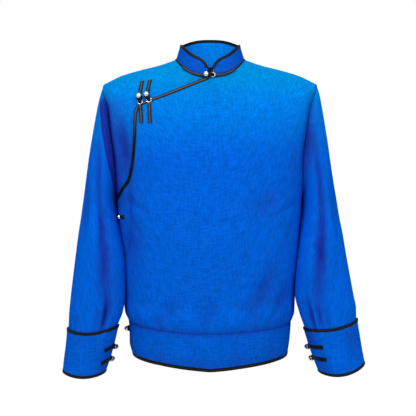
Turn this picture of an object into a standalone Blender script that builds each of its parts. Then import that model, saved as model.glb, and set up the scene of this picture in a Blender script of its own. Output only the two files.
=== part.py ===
"""A stand collar jacket in the shape that it takes when it is worn.

The front laps over to the wearer's right, where a slanting edge runs from the neck to the underarm.
Every piece that is cut and sewn on is one closed solid, a thin wall of cloth at its real size.

Sizes are millimetres here and metres in the objects. The front faces -Y, +X is the viewer's right and
+Z is up. The origin is the middle of the neck, level with the inner ends of the shoulder seams.

A place on the body is given by two numbers. The turn is the angle round the body in degrees: 0 at the
middle of the front, 90 at the viewer's right side, 180 at the middle of the back. The row counts the
height: 0 at the neck, 1 at the shoulder tip, 2 at the underarm, 3 at the band's seam, 4 at the hem.
"""
import math
from collections import namedtuple

import bmesh
import bpy
import numpy as np
from mathutils import Matrix, Vector
from mathutils.bvhtree import BVHTree

MM = 0.001

# Cloth, trim and the gaps between pieces
CLOTH = 1.6
COLLAR_CLOTH = 2.4
BAND_CLOTH = 2.2
SEAM_GAP = 0.3
BINDING_WIDTH = 6.5
BINDING_THICKNESS = 1.0
BINDING_PROUD = 0.6

# Armhole: an oval from the shoulder tip down to the underarm
ARMHOLE_TOP = -54.0
ARMHOLE_BOTTOM = -308.0
ARMHOLE_HALF_DEPTH = 65.0
ARMHOLE_STEPS = 10
SLEEVE_GAP = 0.4
SLEEVE_FIT_ROWS = 3.0

# Under-front: how far it runs on beneath the front, and how deep it lies there
LAP_TURN = 14.0
LAP_DROP = 2.5
LAP_FADE = 15.0

# Folds: how they fade towards the side seams and the sleeve's ends, and their length for one section row
FOLD_SIDE_FADE = 0.3
FOLD_ROW_LENGTH = 12.0
FOLD_CUFF_FADE = (0.2, 0.7)
FOLD_TOP_FADE = 2.0
FOLD_LEAST = 0.01

# Binding on the front's free edge: it stops short of the tight place where sleeve and side meet
SLANT_BINDING_END = 1.85
BINDING_STEP = 11.0
BINDING_SIDE_TURN = 4.0
SIDE_BINDING_START = 2.15
EDGE_BINDING_LIFT = 0.9
NECK_BINDING_LIFT = 0.7
LAY_REACH = 6.0

# Collar: its upright height, how far its top leans in, and its rounded front corners
COLLAR_HEIGHT_FRONT = 38.0
COLLAR_HEIGHT_SIDE = 33.0
COLLAR_HEIGHT_BACK = 35.5
COLLAR_LEAN = 0.867
COLLAR_CORNER = 26.0
COLLAR_CORNER_SHARE = 0.33
COLLAR_END_TURN = 0.5
COLLAR_SHARES = (0.0, 0.34, 0.67, 1.0)
COLLAR_TURN_STEP = 0.5
NECK_RADIUS = 78.0
BAND_SLIT_TURN = 0.1

# Cuffs: the part of the sleeve rows that they cover, and how far they stand off it
CUFF_TOP_ROW = 14.0
CUFF_BOTTOM_ROW = 17.0
CUFF_STAND_OFF = 3.2
CUFF_CLOTH = 2.0
CUFF_SLIT_TURN = 0.4
SLEEVE_END_ROW = 14.5

# Fastenings: flat straps and a silver button made of a ball, a shank and a ring
STRAP_WIDTH = 8.0
STRAP_THICKNESS = 1.5
BALL_RADIUS = 5.8
RING_RADIUS = 4.2
RING_WIRE = 1.4
SHANK_RADIUS = 1.5
BALL_TO_RING = 14.2
SHANK_HEIGHT = 3.2
BUTTON_SPREAD = 4.5
BUTTON_LIFT = 0.8
BUTTON_SEAT_GAP = 0.35
EDGE_SHARES = (0.0, 0.2, 0.4, 0.6, 0.8, 1.0)
STRAP_BEVEL = 0.8
STRAP_SPREAD = 0.55
STRAP_CLEARANCE = 0.5
LAYER_REACH = 7.0
LAYER_GUIDE = (0.31, 0.52, 0.79)

# Shading: edges sharper than these stay crisp
CLOTH_SHARP_ANGLE = 38.0
BUTTON_SHARP_ANGLE = 50.0

# Mesh density: columns round each panel and rows down the body
FRONT_COLUMNS = 22
UNDER_COLUMNS = 10
BACK_COLUMNS = 20
NECK_ROWS = (0.0, 0.10, 0.18, 0.28, 0.40, 0.52, 0.64, 0.76, 0.88)
BODY_ROWS = (2.1, 2.22, 2.34, 2.46, 2.58, 2.70, 2.80, 2.88, 2.95, 3.0)
BAND_ROWS = (3.0, 3.35, 3.7, 4.0)

# Shoulder seam: height and distance from the middle, from the neck to the tip
Shoulder = namedtuple("Shoulder", "row height half_width")
SHOULDERS = (
    Shoulder(0.00, 0.0, 75.0),
    Shoulder(0.25, -13.0, 113.0),
    Shoulder(0.50, -22.8, 152.0),
    Shoulder(0.75, -35.0, 193.0),
    Shoulder(1.00, ARMHOLE_TOP, 232.5),
)

# Armhole edge: distance from the middle on the viewer's left and right, by the share of its height
ArmholeEdge = namedtuple("ArmholeEdge", "fall left right")
ARMHOLE_EDGES = (
    ArmholeEdge(0.00, 232.5, 232.5),
    ArmholeEdge(0.08, 232.5, 229.0),
    ArmholeEdge(0.23, 227.0, 220.0),
    ArmholeEdge(0.44, 220.0, 210.5),
    ArmholeEdge(0.64, 213.0, 205.0),
    ArmholeEdge(0.84, 206.5, 202.0),
    ArmholeEdge(1.00, 204.0, 200.5),
)

# Side seam, from the underarm to the lower edge of the band
Side = namedtuple("Side", "row height left right")
SIDES = (
    Side(2.00, ARMHOLE_BOTTOM, 204.0, 200.5),
    Side(2.10, -334.0, 197.0, 194.5),
    Side(2.25, -372.0, 189.5, 188.5),
    Side(2.40, -412.0, 185.5, 185.0),
    Side(2.60, -466.0, 184.0, 182.5),
    Side(2.80, -520.0, 185.0, 183.0),
    Side(2.92, -551.0, 185.5, 184.0),
    Side(3.00, -571.5, 177.0, 177.0),
    Side(3.35, -596.0, 175.3, 175.0),
    Side(3.70, -619.0, 175.0, 172.5),
    Side(4.00, -638.5, 170.5, 169.5),
)

# Middle of the front and of the back, with the outline's shape in plan and in its rise to the sides
Middle = namedtuple("Middle", "row front_z back_z front_depth back_depth roundness rise")
MIDDLES = (
    Middle(0.00, -46.0, 18.0, 80.0, 60.0, 2.10, 2.7),
    Middle(0.25, -66.0, -3.0, 87.0, 73.0, 2.20, 2.6),
    Middle(0.50, -88.0, -26.0, 93.0, 85.0, 2.30, 2.5),
    Middle(0.75, -111.0, -52.0, 98.5, 95.0, 2.40, 2.4),
    Middle(1.00, -134.0, -80.0, 103.5, 103.0, 2.50, 2.3),
    Middle(1.35, -195.0, -152.0, 112.0, 112.0, 2.60, 2.2),
    Middle(1.65, -250.0, -222.0, 117.5, 116.0, 2.60, 2.1),
    Middle(2.00, -318.0, -306.0, 121.0, 114.5, 2.60, 2.0),
    Middle(2.25, -384.0, -370.0, 122.0, 110.0, 2.55, 2.0),
    Middle(2.60, -480.0, -464.0, 121.0, 107.0, 2.50, 2.0),
    Middle(2.92, -569.0, -549.0, 122.5, 110.0, 2.50, 2.0),
    Middle(3.00, -589.0, -570.0, 117.0, 105.5, 2.50, 1.8),
    Middle(3.70, -642.0, -620.0, 115.0, 104.0, 2.50, 1.4),
    Middle(4.00, -662.5, -639.5, 112.0, 102.0, 2.50, 1.35),
)

# Slanting edge of the front, from the middle of the neck to the viewer's left underarm
EdgePoint = namedtuple("EdgePoint", "height x")
OPENING = (
    EdgePoint(-46.0, 0.0),
    EdgePoint(-58.5, -32.0),
    EdgePoint(-71.5, -64.0),
    EdgePoint(-84.0, -95.0),
    EdgePoint(-93.0, -120.0),
    EdgePoint(-101.5, -141.0),
    EdgePoint(-108.0, -152.0),
    EdgePoint(-118.0, -158.5),
    EdgePoint(-139.0, -160.8),
    EdgePoint(-171.0, -161.5),
    EdgePoint(-203.0, -163.3),
    EdgePoint(-236.0, -168.0),
    EdgePoint(-262.0, -174.5),
    EdgePoint(-284.0, -187.0),
    EdgePoint(-297.0, -197.0),
    EdgePoint(ARMHOLE_BOTTOM, -204.0),
)

# Folds on the body: a soft trough from one point to another, seen from the front or from behind
Fold = namedtuple("Fold", "x0 z0 x1 z1 width depth")
FRONT_FOLDS = (
    Fold(-196.0, -128.0, -172.0, -262.0, 14.0, 5.0),
    Fold(-176.0, -330.0, -158.0, -470.0, 20.0, 3.0),
    Fold(-120.0, -575.0, -60.0, -520.0, 16.0, 2.5),
    Fold(-20.0, -582.0, 10.0, -515.0, 18.0, 2.5),
    Fold(70.0, -580.0, 150.0, -430.0, 20.0, 4.0),
    Fold(132.0, -565.0, 172.0, -480.0, 14.0, 3.5),
    Fold(186.0, -150.0, 178.0, -300.0, 15.0, 4.5),
    Fold(150.0, -290.0, 90.0, -350.0, 24.0, 3.0),
)
BACK_FOLDS = (
    Fold(-180.0, -150.0, -150.0, -300.0, 18.0, 5.0),
    Fold(182.0, -150.0, 152.0, -290.0, 18.0, 4.5),
    Fold(-110.0, -560.0, -60.0, -440.0, 18.0, 4.5),
    Fold(15.0, -562.0, -10.0, -410.0, 22.0, 3.5),
    Fold(95.0, -560.0, 70.0, -450.0, 17.0, 4.5),
    Fold(150.0, -555.0, 160.0, -470.0, 15.0, 3.5),
)

# Sections of a sleeve and its cuff: the outer and inner end, the middle and half of its depth, and how
# far its front hangs lower. Row 0 is the armhole, rows 1 to 7 turn the section level under the shoulder.
Section = namedtuple("Section", "outer_x outer_z inner_x inner_z centre_y half_depth droop")
LEFT_SECTIONS = (
    Section(232.5, -54.0, 204.0, -308.0, 0.0, 65.0, 0.0),
    Section(240.0, -76.0, 204.0, -309.0, 0.0, 66.5, 0.0),
    Section(246.8, -104.0, 203.9, -311.0, 0.0, 68.0, 0.0),
    Section(253.5, -140.0, 203.6, -313.0, 0.0, 70.0, 0.0),
    Section(260.5, -180.0, 203.3, -315.5, 1.0, 71.5, 0.0),
    Section(267.0, -222.0, 202.9, -318.0, 1.0, 73.0, 0.0),
    Section(272.5, -264.0, 202.3, -321.0, 1.0, 74.0, 0.0),
    Section(277.5, -305.0, 201.5, -327.0, 0.0, 74.0, 0.0),
    Section(282.0, -343.0, 199.5, -344.0, -6.0, 72.0, 0.0),
    Section(285.5, -381.0, 191.8, -382.0, -26.0, 65.0, 0.0),
    Section(289.5, -424.0, 184.8, -424.0, -40.0, 58.0, 0.0),
    Section(294.0, -468.0, 182.0, -467.0, -48.0, 53.0, 0.0),
    Section(298.5, -512.0, 182.0, -510.0, -53.0, 50.0, 2.0),
    Section(301.5, -550.0, 187.0, -547.0, -58.0, 48.0, 5.0),
    Section(302.5, -586.0, 199.0, -579.0, -62.0, 45.0, 9.0),
    Section(304.5, -616.0, 206.5, -611.0, -65.0, 43.0, 10.0),
    Section(308.0, -646.0, 214.5, -641.0, -68.0, 41.5, 9.5),
    Section(309.8, -667.0, 223.5, -668.0, -71.0, 40.0, 8.5),
)
RIGHT_SECTIONS = (
    Section(232.5, -54.0, 200.5, -308.0, 0.0, 65.0, 0.0),
    Section(239.5, -76.0, 200.5, -309.0, 0.0, 66.5, 0.0),
    Section(245.0, -104.0, 200.4, -311.0, 0.0, 68.0, 0.0),
    Section(251.0, -140.0, 200.1, -313.0, 0.0, 70.0, 0.0),
    Section(257.5, -180.0, 199.8, -315.5, 1.0, 71.5, 0.0),
    Section(263.5, -222.0, 199.5, -318.0, 1.0, 73.0, 0.0),
    Section(269.8, -264.0, 199.0, -321.0, 1.0, 74.0, 0.0),
    Section(276.5, -305.0, 198.3, -327.0, 0.0, 74.0, 0.0),
    Section(281.8, -343.0, 197.0, -344.0, -6.0, 72.0, 0.0),
    Section(287.0, -381.0, 193.0, -382.0, -26.0, 65.0, 0.0),
    Section(292.5, -424.0, 187.8, -424.0, -40.0, 58.0, 0.0),
    Section(299.5, -468.0, 183.5, -467.0, -48.0, 53.0, 0.0),
    Section(306.3, -508.0, 181.5, -509.0, -53.0, 50.0, 2.0),
    Section(311.5, -540.0, 190.5, -549.0, -58.0, 48.0, 5.0),
    Section(311.5, -566.0, 203.0, -585.0, -62.0, 45.0, 7.0),
    Section(316.0, -600.0, 211.0, -612.0, -65.0, 43.0, 8.0),
    Section(320.5, -629.5, 220.5, -639.5, -68.0, 41.5, 10.0),
    Section(324.3, -650.5, 231.0, -667.0, -71.0, 40.0, 12.0),
)

# Folds on a sleeve: a trough from one place to another, by section row and angle round the sleeve
SleeveFold = namedtuple("SleeveFold", "row0 around0 row1 around1 width depth")
LEFT_SLEEVE_FOLDS = (
    SleeveFold(3.0, 96.0, 10.0, 101.0, 17.0, 6.0),
    SleeveFold(9.0, 102.0, 12.5, 116.0, 15.0, 5.0),
    SleeveFold(11.5, 122.0, 14.2, 118.0, 11.0, 4.5),
    SleeveFold(5.0, 262.0, 11.0, 248.0, 18.0, 6.0),
    SleeveFold(9.5, 292.0, 13.5, 280.0, 14.0, 4.0),
    SleeveFold(6.0, 28.0, 9.0, 60.0, 14.0, 3.5),
)
RIGHT_SLEEVE_FOLDS = (
    SleeveFold(2.5, 84.0, 8.0, 90.0, 17.0, 6.0),
    SleeveFold(7.0, 91.0, 13.8, 115.0, 14.0, 6.0),
    SleeveFold(12.0, 138.0, 14.2, 134.0, 10.0, 4.0),
    SleeveFold(5.0, 258.0, 11.0, 252.0, 18.0, 6.0),
    SleeveFold(10.0, 286.0, 13.5, 276.0, 14.0, 4.0),
    SleeveFold(6.0, 30.0, 9.0, 58.0, 14.0, 3.0),
)

# Silver buttons and straps on the front, by x and height as seen from the front
FrontFrog = namedtuple("FrontFrog", "name ball ring ball_strap_end ring_strap_end width")
FRONT_FROGS = (
    FrontFrog("collar", (-8.0, -41.5), (5.6, -45.0), (-57.0, -23.5), (50.0, -31.0), 6.6),
    FrontFrog("chest_outer", (-150.5, -90.5), (-147.2, -104.5), (-145.0, -55.5), (-144.3, -145.0), 8.0),
    FrontFrog("chest_inner", (-134.5, -88.0), (-128.5, -100.5), (-128.4, -55.0), (-126.3, -145.4), 8.0),
)

# The same on the side of the body, by turn and row
SideFrog = namedtuple("SideFrog", "name row ball ring ball_strap ring_strap")
SIDE_FROGS = (
    SideFrog("underarm", 2.135, -71.0, -66.0, (-74.2, -76.8), (-59.5, -62.6)),
    SideFrog("band", 3.22, -86.0, -91.0, (-78.5, -83.2), (-94.2, -106.0)),
)

# The same on the cuffs, by sleeve row and angle: the row at the strap's far end and at the button
CuffStrap = namedtuple("CuffStrap", "far_row near_row far_angle near_angle")
CuffFrog = namedtuple("CuffFrog", "name row left right")
CUFF_FROGS = (
    CuffFrog("upper", 15.30, CuffStrap(15.25, 15.15, 133.0, 172.5), CuffStrap(15.05, 15.22, 121.0, 172.5)),
    CuffFrog("lower", 16.15, CuffStrap(16.15, 16.05, 133.0, 172.5), CuffStrap(15.92, 16.08, 121.0, 172.5)),
)
CUFF_RING_AROUND = 180.0
CUFF_BALL_AROUND = 199.0
CUFF_BALL_STRAP = (207.5, 236.0)

# Finishes: colour, roughness and metallic value
Finish = namedtuple("Finish", "colour roughness metallic")
FINISHES = {
    "blue_linen": Finish((0.010, 0.115, 0.655, 1.0), 0.85, 0.0),
    "black_satin": Finish((0.010, 0.010, 0.012, 1.0), 0.35, 0.0),
    "silver": Finish((0.72, 0.71, 0.69, 1.0), 0.22, 1.0),
}


def smooth_curve(knots, values):
    """Return a smooth curve through the values that never swings past them."""
    knots = np.asarray(knots, dtype=float)
    values = np.asarray(values, dtype=float)
    gaps = np.diff(knots)
    slopes = np.diff(values) / gaps
    tangents = np.zeros(len(knots))
    tangents[0] = slopes[0]
    tangents[-1] = slopes[-1]
    for i in range(1, len(knots) - 1):
        before, after = slopes[i - 1], slopes[i]
        if before * after > 0.0:
            tangents[i] = 2.0 * before * after / (before + after)

    def value(place):
        i = min(max(int(np.searchsorted(knots, place)) - 1, 0), len(gaps) - 1)
        share = (place - knots[i]) / gaps[i]
        share = min(max(share, 0.0), 1.0)
        rest = 1.0 - share
        return (values[i] * (1.0 + 2.0 * share) * rest ** 2
                + values[i + 1] * (1.0 + 2.0 * rest) * share ** 2
                + gaps[i] * share * rest * (tangents[i] * rest - tangents[i + 1] * share))

    return value


def table_curve(rows, key, column):
    """Return one column of a table as a smooth curve over another."""
    return smooth_curve([getattr(row, key) for row in rows], [getattr(row, column) for row in rows])


def smooth_step(share):
    """Rise softly from 0 to 1."""
    share = min(max(share, 0.0), 1.0)
    return share * share * (3.0 - 2.0 * share)


def unit(vector):
    """Return the vector at length 1."""
    return vector / np.linalg.norm(vector)


SHOULDER_HEIGHT = table_curve(SHOULDERS, "row", "height")
SHOULDER_WIDTH = table_curve(SHOULDERS, "row", "half_width")
ARMHOLE_X = {side: table_curve(ARMHOLE_EDGES, "fall", side) for side in ("left", "right")}
SIDE_HEIGHT = table_curve(SIDES, "row", "height")
SIDE_X = {side: table_curve(SIDES, "row", side) for side in ("left", "right")}
MIDDLE = {column: table_curve(MIDDLES, "row", column) for column in Middle._fields[1:]}
OPENING_X = smooth_curve([-point.height for point in OPENING], [point.x for point in OPENING])


def edge_of(row):
    """Return the height, both half widths and the half depth where a panel ends at this row."""
    if row <= 1.0:
        width = SHOULDER_WIDTH(row)
        return SHOULDER_HEIGHT(row), width, width, 0.0
    if row < 2.0:
        angle = math.pi * (row - 1.0)
        fall = (1.0 - math.cos(angle)) / 2.0
        height = ARMHOLE_TOP + (ARMHOLE_BOTTOM - ARMHOLE_TOP) * fall
        depth = ARMHOLE_HALF_DEPTH * math.sin(angle)
        return height, ARMHOLE_X["left"](fall), ARMHOLE_X["right"](fall), depth
    return SIDE_HEIGHT(row), SIDE_X["left"](row), SIDE_X["right"](row), 0.0


def edge_share(row, front):
    """Return the panel edge's place on its ring as shares of the half width and of the depth."""
    depth = MIDDLE["front_depth"](row) if front else MIDDLE["back_depth"](row)
    across = edge_of(row)[3] / depth
    power = MIDDLE["roundness"](row)
    return (1.0 - across ** power) ** (1.0 / power), across


def edge_turn(row, front):
    """Return the angle from the middle to the panel's edge at this row."""
    wide, deep = edge_share(row, front)
    return math.degrees(math.atan2(wide, deep))


def ring_point(turn, row):
    """Return the point of the plain body at a turn and a row."""
    sine = math.sin(math.radians(turn))
    cosine = math.cos(math.radians(turn))
    front = cosine >= 0.0
    height, left, right, _ = edge_of(row)
    wide, _ = edge_share(row, front)
    half_width = ((left + right) + (right - left) * sine) / 2.0 / wide
    depth = MIDDLE["front_depth"](row) if front else MIDDLE["back_depth"](row)
    level = MIDDLE["front_z"](row) if front else MIDDLE["back_z"](row)
    power = MIDDLE["roundness"](row)
    size = (abs(sine) ** power + abs(cosine) ** power) ** (1.0 / power)
    edge_sine = math.sin(math.radians(edge_turn(row, front)))
    rise = (abs(sine) / edge_sine) ** MIDDLE["rise"](row)
    return np.array([half_width * sine / size, -depth * cosine / size, level + (height - level) * rise])


def outward_normal(surface, across, along, steps, sign):
    """Return the unit normal of a surface, from its slopes in both directions."""
    across_step, along_step = steps
    slope_across = surface(across + across_step, along) - surface(across - across_step, along)
    slope_along = surface(across, along + along_step) - surface(across, along - along_step)
    return sign * unit(np.cross(slope_along, slope_across))


BODY_STEPS = (0.5, 0.004)
SLEEVE_STEPS = (1.0, 0.02)


def inside_rows(row):
    """Keep a row far enough from the first and the last for a slope to be taken there."""
    return min(max(row, BODY_STEPS[1]), BAND_ROWS[-1] - BODY_STEPS[1])


def trough(place, start, end, width):
    """Return how deep in a trough a place lies, 1 on its middle line and softly 0 beside and past it."""
    line = end - start
    share = float(np.dot(place - start, line) / np.dot(line, line))
    near = start + line * min(max(share, 0.0), 1.0)
    off = np.linalg.norm((place - near) / width)
    taper = smooth_step(1.0 - 2.0 * abs(min(max(share, 0.0), 1.0) - 0.5) * 0.75)
    return math.exp(-off * off) * taper


def body_fold(point, turn):
    """Return how far the folds push the body's cloth in at a point."""
    folds = FRONT_FOLDS if math.cos(math.radians(turn)) >= 0.0 else BACK_FOLDS
    fade = smooth_step(abs(math.cos(math.radians(turn))) / FOLD_SIDE_FADE)
    place = np.array([point[0], point[2]])
    depth = 0.0
    for fold in folds:
        start = np.array([fold.x0, fold.z0])
        end = np.array([fold.x1, fold.z1])
        depth += fold.depth * trough(place, start, end, fold.width)
    return depth * fade


def body_point(turn, row):
    """Return a point of the body's outer face, with its folds."""
    point = ring_point(turn, row)
    push = body_fold(point, turn)
    if push < FOLD_LEAST:
        return point
    return point - outward_normal(ring_point, turn, inside_rows(row), BODY_STEPS, 1.0) * push


def body_normal(turn, row):
    """Return the outward direction of the body's cloth."""
    return outward_normal(body_point, turn, inside_rows(row), BODY_STEPS, 1.0)


def opening_turn(row):
    """Return where the slanting edge crosses this row, found by halving."""
    if row >= 2.0:
        return -90.0
    low, high = -edge_turn(row, True), 0.0
    for _ in range(40):
        middle = (low + high) / 2.0
        x, _, z = ring_point(middle, row)
        if x < OPENING_X(-z):
            low = middle
        else:
            high = middle
    return high


def make_material(name):
    """Return the finish of this name as a material."""
    finish = FINISHES[name]
    material = bpy.data.materials.new(name)
    material.use_nodes = True
    shader = material.node_tree.nodes["Principled BSDF"]
    shader.inputs["Base Color"].default_value = finish.colour
    shader.inputs["Roughness"].default_value = finish.roughness
    shader.inputs["Metallic"].default_value = finish.metallic
    material.diffuse_color = finish.colour
    return material


def add_object(name, points, faces, material):
    """Add a closed mesh, given in millimetres, as an object with its faces pointing out."""
    mesh = bpy.data.meshes.new(name)
    mesh.from_pydata([tuple(float(value) * MM for value in point) for point in points], [], faces)
    shape = bmesh.new()
    shape.from_mesh(mesh)
    bmesh.ops.recalc_face_normals(shape, faces=shape.faces)
    if shape.calc_volume(signed=True) < 0.0:
        bmesh.ops.reverse_faces(shape, faces=shape.faces)
    shape.to_mesh(mesh)
    shape.free()
    mesh.materials.append(material)
    mesh.shade_smooth()
    mesh.set_sharp_from_angle(angle=math.radians(CLOTH_SHARP_ANGLE))
    result = bpy.data.objects.new(name, mesh)
    bpy.context.scene.collection.objects.link(result)
    return result


def draw_back(grid, other, wrap):
    """Move the open edges of a grid and its partner in by half a seam gap."""
    half = SEAM_GAP / 2.0
    moved, partner = grid.copy(), other.copy()
    pairs = [(np.s_[0, :], np.s_[1, :]), (np.s_[-1, :], np.s_[-2, :])]
    if not wrap:
        pairs += [(np.s_[:, 0], np.s_[:, 1]), (np.s_[:, -1], np.s_[:, -2])]
    for edge, inner in pairs:
        step = grid[inner] - grid[edge]
        step = step / np.linalg.norm(step, axis=-1, keepdims=True) * half
        moved[edge] += step
        partner[edge] += step
    return moved, partner


def add_wall(name, outer, inner, material, wrap=False):
    """Add a sheet of cloth between an outer and an inner grid of points, each a row of columns."""
    outer, inner = draw_back(np.asarray(outer), np.asarray(inner), wrap)
    rows, columns = outer.shape[:2]
    points = list(outer.reshape(-1, 3)) + list(inner.reshape(-1, 3))
    last = columns if wrap else columns - 1
    inside = rows * columns

    def at(row, column):
        return row * columns + column % columns

    faces = []
    for row in range(rows - 1):
        for column in range(last):
            corners = (at(row, column), at(row, column + 1), at(row + 1, column + 1), at(row + 1, column))
            faces.append(corners)
            faces.append(tuple(inside + corner for corner in reversed(corners)))
    rim = [(at(0, column + 1), at(0, column)) for column in range(last)]
    rim += [(at(rows - 1, column), at(rows - 1, column + 1)) for column in range(last)]
    if not wrap:
        rim += [(at(row, 0), at(row + 1, 0)) for row in range(rows - 1)]
        rim += [(at(row + 1, columns - 1), at(row, columns - 1)) for row in range(rows - 1)]
    faces += [(start, end, inside + end, inside + start) for start, end in rim]
    return add_object(name, points, faces, material)


def add_ribbon(name, edge, normals, inward, section, material, wrap=False):
    """Add a strip with the given section along an edge.

    The section is a polygon: its first numbers run in from the edge, its second ones out of the cloth.
    """
    count, sides = len(edge), len(section)
    points = []
    for place, normal, side in zip(edge, normals, inward):
        points += [place + side * across + normal * out for across, out in section]
    faces = []
    for i in range(count if wrap else count - 1):
        here, there = i * sides, (i + 1) % count * sides
        for j in range(sides):
            k = (j + 1) % sides
            faces.append((here + j, here + k, there + k, there + j))
    if not wrap:
        faces.append(tuple(range(sides)))
        faces.append(tuple(reversed(range((count - 1) * sides, count * sides))))
    return add_object(name, points, faces, material)


def edge_frames(edge, normals, toward, wrap):
    """Return for each point of an edge the direction in the cloth that runs square to it."""
    count = len(edge)
    result = []
    for i in range(count):
        before = edge[i - 1] if wrap or i > 0 else edge[i]
        after = edge[(i + 1) % count] if wrap or i < count - 1 else edge[i]
        side = unit(np.cross(normals[i], after - before))
        result.append(side if np.dot(side, toward[i] - edge[i]) > 0.0 else -side)
    return result


def facet_frames(edge, toward):
    """Return for each point of an edge the way along its facet, long enough to lie 1 from the edge."""
    result = []
    for i, (place, neighbour) in enumerate(zip(edge, toward)):
        tangent = unit(edge[min(i + 1, len(edge) - 1)] - edge[max(i - 1, 0)])
        way = unit(neighbour - place)
        square = way - tangent * np.dot(way, tangent)
        result.append(way / np.linalg.norm(square))
    return result


def flat_section(low):
    """Return the section of a strip that lies on the cloth, this far above it."""
    return ((0.0, low), (BINDING_WIDTH, low), (BINDING_WIDTH, low + BINDING_THICKNESS),
            (0.0, low + BINDING_THICKNESS))


def edge_section(cloth, inner_proud):
    """Return the section of a bound edge that carries on from the end of a cloth of this thickness."""
    far = -SEAM_GAP - BINDING_WIDTH
    return ((-SEAM_GAP, BINDING_PROUD), (far, BINDING_PROUD), (far, -cloth - inner_proud),
            (-SEAM_GAP, -cloth - inner_proud))


def armhole_frame(side):
    """Return the armhole's upward axis and the direction that leads out of it into the sleeve."""
    sections = LEFT_SECTIONS if side < 0 else RIGHT_SECTIONS
    first = sections[0]
    axis = unit(np.array([side * (first.outer_x - first.inner_x), 0.0, first.outer_z - first.inner_z]))
    out = unit(np.array([side * axis[2], 0.0, -side * axis[0]]))
    return axis, out


def armhole_rim(side, around):
    """Return the direction in the armhole's plane that points away from its middle."""
    axis, _ = armhole_frame(side)
    angle = math.radians(around)
    half_height = (ARMHOLE_TOP - ARMHOLE_BOTTOM) / 2.0
    return unit(axis * math.cos(angle) / half_height
                - np.array([0.0, 1.0, 0.0]) * math.sin(angle) / ARMHOLE_HALF_DEPTH)


def armhole_edge(side, around):
    """Return the body's point on the armhole at this angle, 0 on top and 90 in front."""
    front = around <= 180.0
    row = 1.0 + (around if front else 360.0 - around) / 180.0
    turn = edge_turn(row, front)
    return body_point(side * (turn if front else 180.0 - turn), row)


def make_sleeve(side):
    """Return the sleeve's surface as a function of the angle round it and the section row."""
    sections = LEFT_SECTIONS if side < 0 else RIGHT_SECTIONS
    folds = LEFT_SLEEVE_FOLDS if side < 0 else RIGHT_SLEEVE_FOLDS
    places = range(len(sections))
    curves = [smooth_curve(places, column) for column in zip(*sections)]
    out = armhole_frame(side)[1]
    sign = float(side)

    def oval(around, row):
        outer_x, outer_z, inner_x, inner_z, centre_y, half_depth, droop = (curve(row) for curve in curves)
        sine = math.sin(math.radians(around))
        cosine = math.cos(math.radians(around))
        share = (1.0 + cosine) / 2.0
        x = inner_x + (outer_x - inner_x) * share
        z = inner_z + (outer_z - inner_z) * share - droop * max(sine, 0.0) ** 2
        return np.array([side * x, centre_y - half_depth * sine, z])

    def plain(around, row):
        point = oval(around, row)
        if row < SLEEVE_FIT_ROWS:
            shift = armhole_edge(side, around % 360.0) + out * SLEEVE_GAP - oval(around, 0.0)
            point = point + shift * (1.0 - row / SLEEVE_FIT_ROWS) ** 2
        return point

    def folded(around, row):
        point = plain(around, row)
        depth = 0.0
        for fold in folds:
            start = np.array([fold.around0, fold.row0 * FOLD_ROW_LENGTH])
            end = np.array([fold.around1, fold.row1 * FOLD_ROW_LENGTH])
            place = np.array([around % 360.0, row * FOLD_ROW_LENGTH])
            depth += fold.depth * trough(place, start, end, fold.width)
        past, fade = FOLD_CUFF_FADE
        depth *= smooth_step((CUFF_TOP_ROW + past - row) / fade) * smooth_step(row / FOLD_TOP_FADE)
        if depth < FOLD_LEAST:
            return point
        kept_row = max(row, SLEEVE_STEPS[1])
        return point - outward_normal(plain, around, kept_row, SLEEVE_STEPS, -sign) * depth

    def normal(around, row):
        row = min(max(row, SLEEVE_STEPS[1]), CUFF_BOTTOM_ROW - SLEEVE_STEPS[1])
        return outward_normal(folded, around, row, SLEEVE_STEPS, -sign)

    return folded, normal


def panel_grids(columns_of, rows, depth_of=None):
    """Return the outer and inner points of a body panel.

    columns_of gives the turns of a row and depth_of how deep a place lies beneath the body's face.
    """
    outer, inner = [], []
    for row in rows:
        outer_row, inner_row = [], []
        for turn in columns_of(row):
            normal = body_normal(turn, row)
            point = body_point(turn, row)
            if depth_of is not None:
                point = point - normal * depth_of(turn, row)
            inward = normal
            front = math.cos(math.radians(turn)) >= 0.0
            limit = edge_turn(row, front)
            reach = abs(turn) if front else abs(180.0 - abs(turn % 360.0))
            if 1.0 <= row <= 2.0 and reach > limit - 0.01:
                side = 1 if math.sin(math.radians(turn)) > 0.0 else -1
                around = (row - 1.0) * 180.0
                inward = armhole_rim(side, around if front else 360.0 - around)
            outer_row.append(point)
            inner_row.append(point - inward * CLOTH)
        outer.append(outer_row)
        inner.append(inner_row)
    return outer, inner


def armhole_rows():
    """Return the rows from the shoulder tip to the underarm, as far apart as the sleeve's columns."""
    return [1.0 + i / ARMHOLE_STEPS for i in range(ARMHOLE_STEPS + 1)]


def front_columns(row):
    """Return the turns of the front's columns at a row, from the viewer's right to the slanting edge."""
    return np.linspace(edge_turn(row, True), opening_turn(row), FRONT_COLUMNS + 1)


def add_body(linen):
    """Add the front, the under-front and the back."""
    upper_rows = list(NECK_ROWS) + armhole_rows()
    rows = upper_rows + list(BODY_ROWS)

    def under_columns(row):
        return np.linspace(-edge_turn(row, True), opening_turn(row) + LAP_TURN, UNDER_COLUMNS + 1)

    def back_columns(row):
        edge = edge_turn(row, False)
        return np.linspace(180.0 - edge, 180.0 + edge, BACK_COLUMNS + 1)

    def under_depth(turn, row):
        return LAP_DROP * smooth_step((turn - opening_turn(row) + LAP_FADE) / LAP_FADE)

    add_wall("front_main", *panel_grids(front_columns, rows), linen)
    add_wall("front_under", *panel_grids(under_columns, upper_rows, under_depth), linen)
    add_wall("back", *panel_grids(back_columns, rows), linen)


def sleeve_angles():
    """Return the angles round a sleeve, one for each row of the armhole."""
    return [180.0 / ARMHOLE_STEPS * i for i in range(2 * ARMHOLE_STEPS)]


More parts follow.
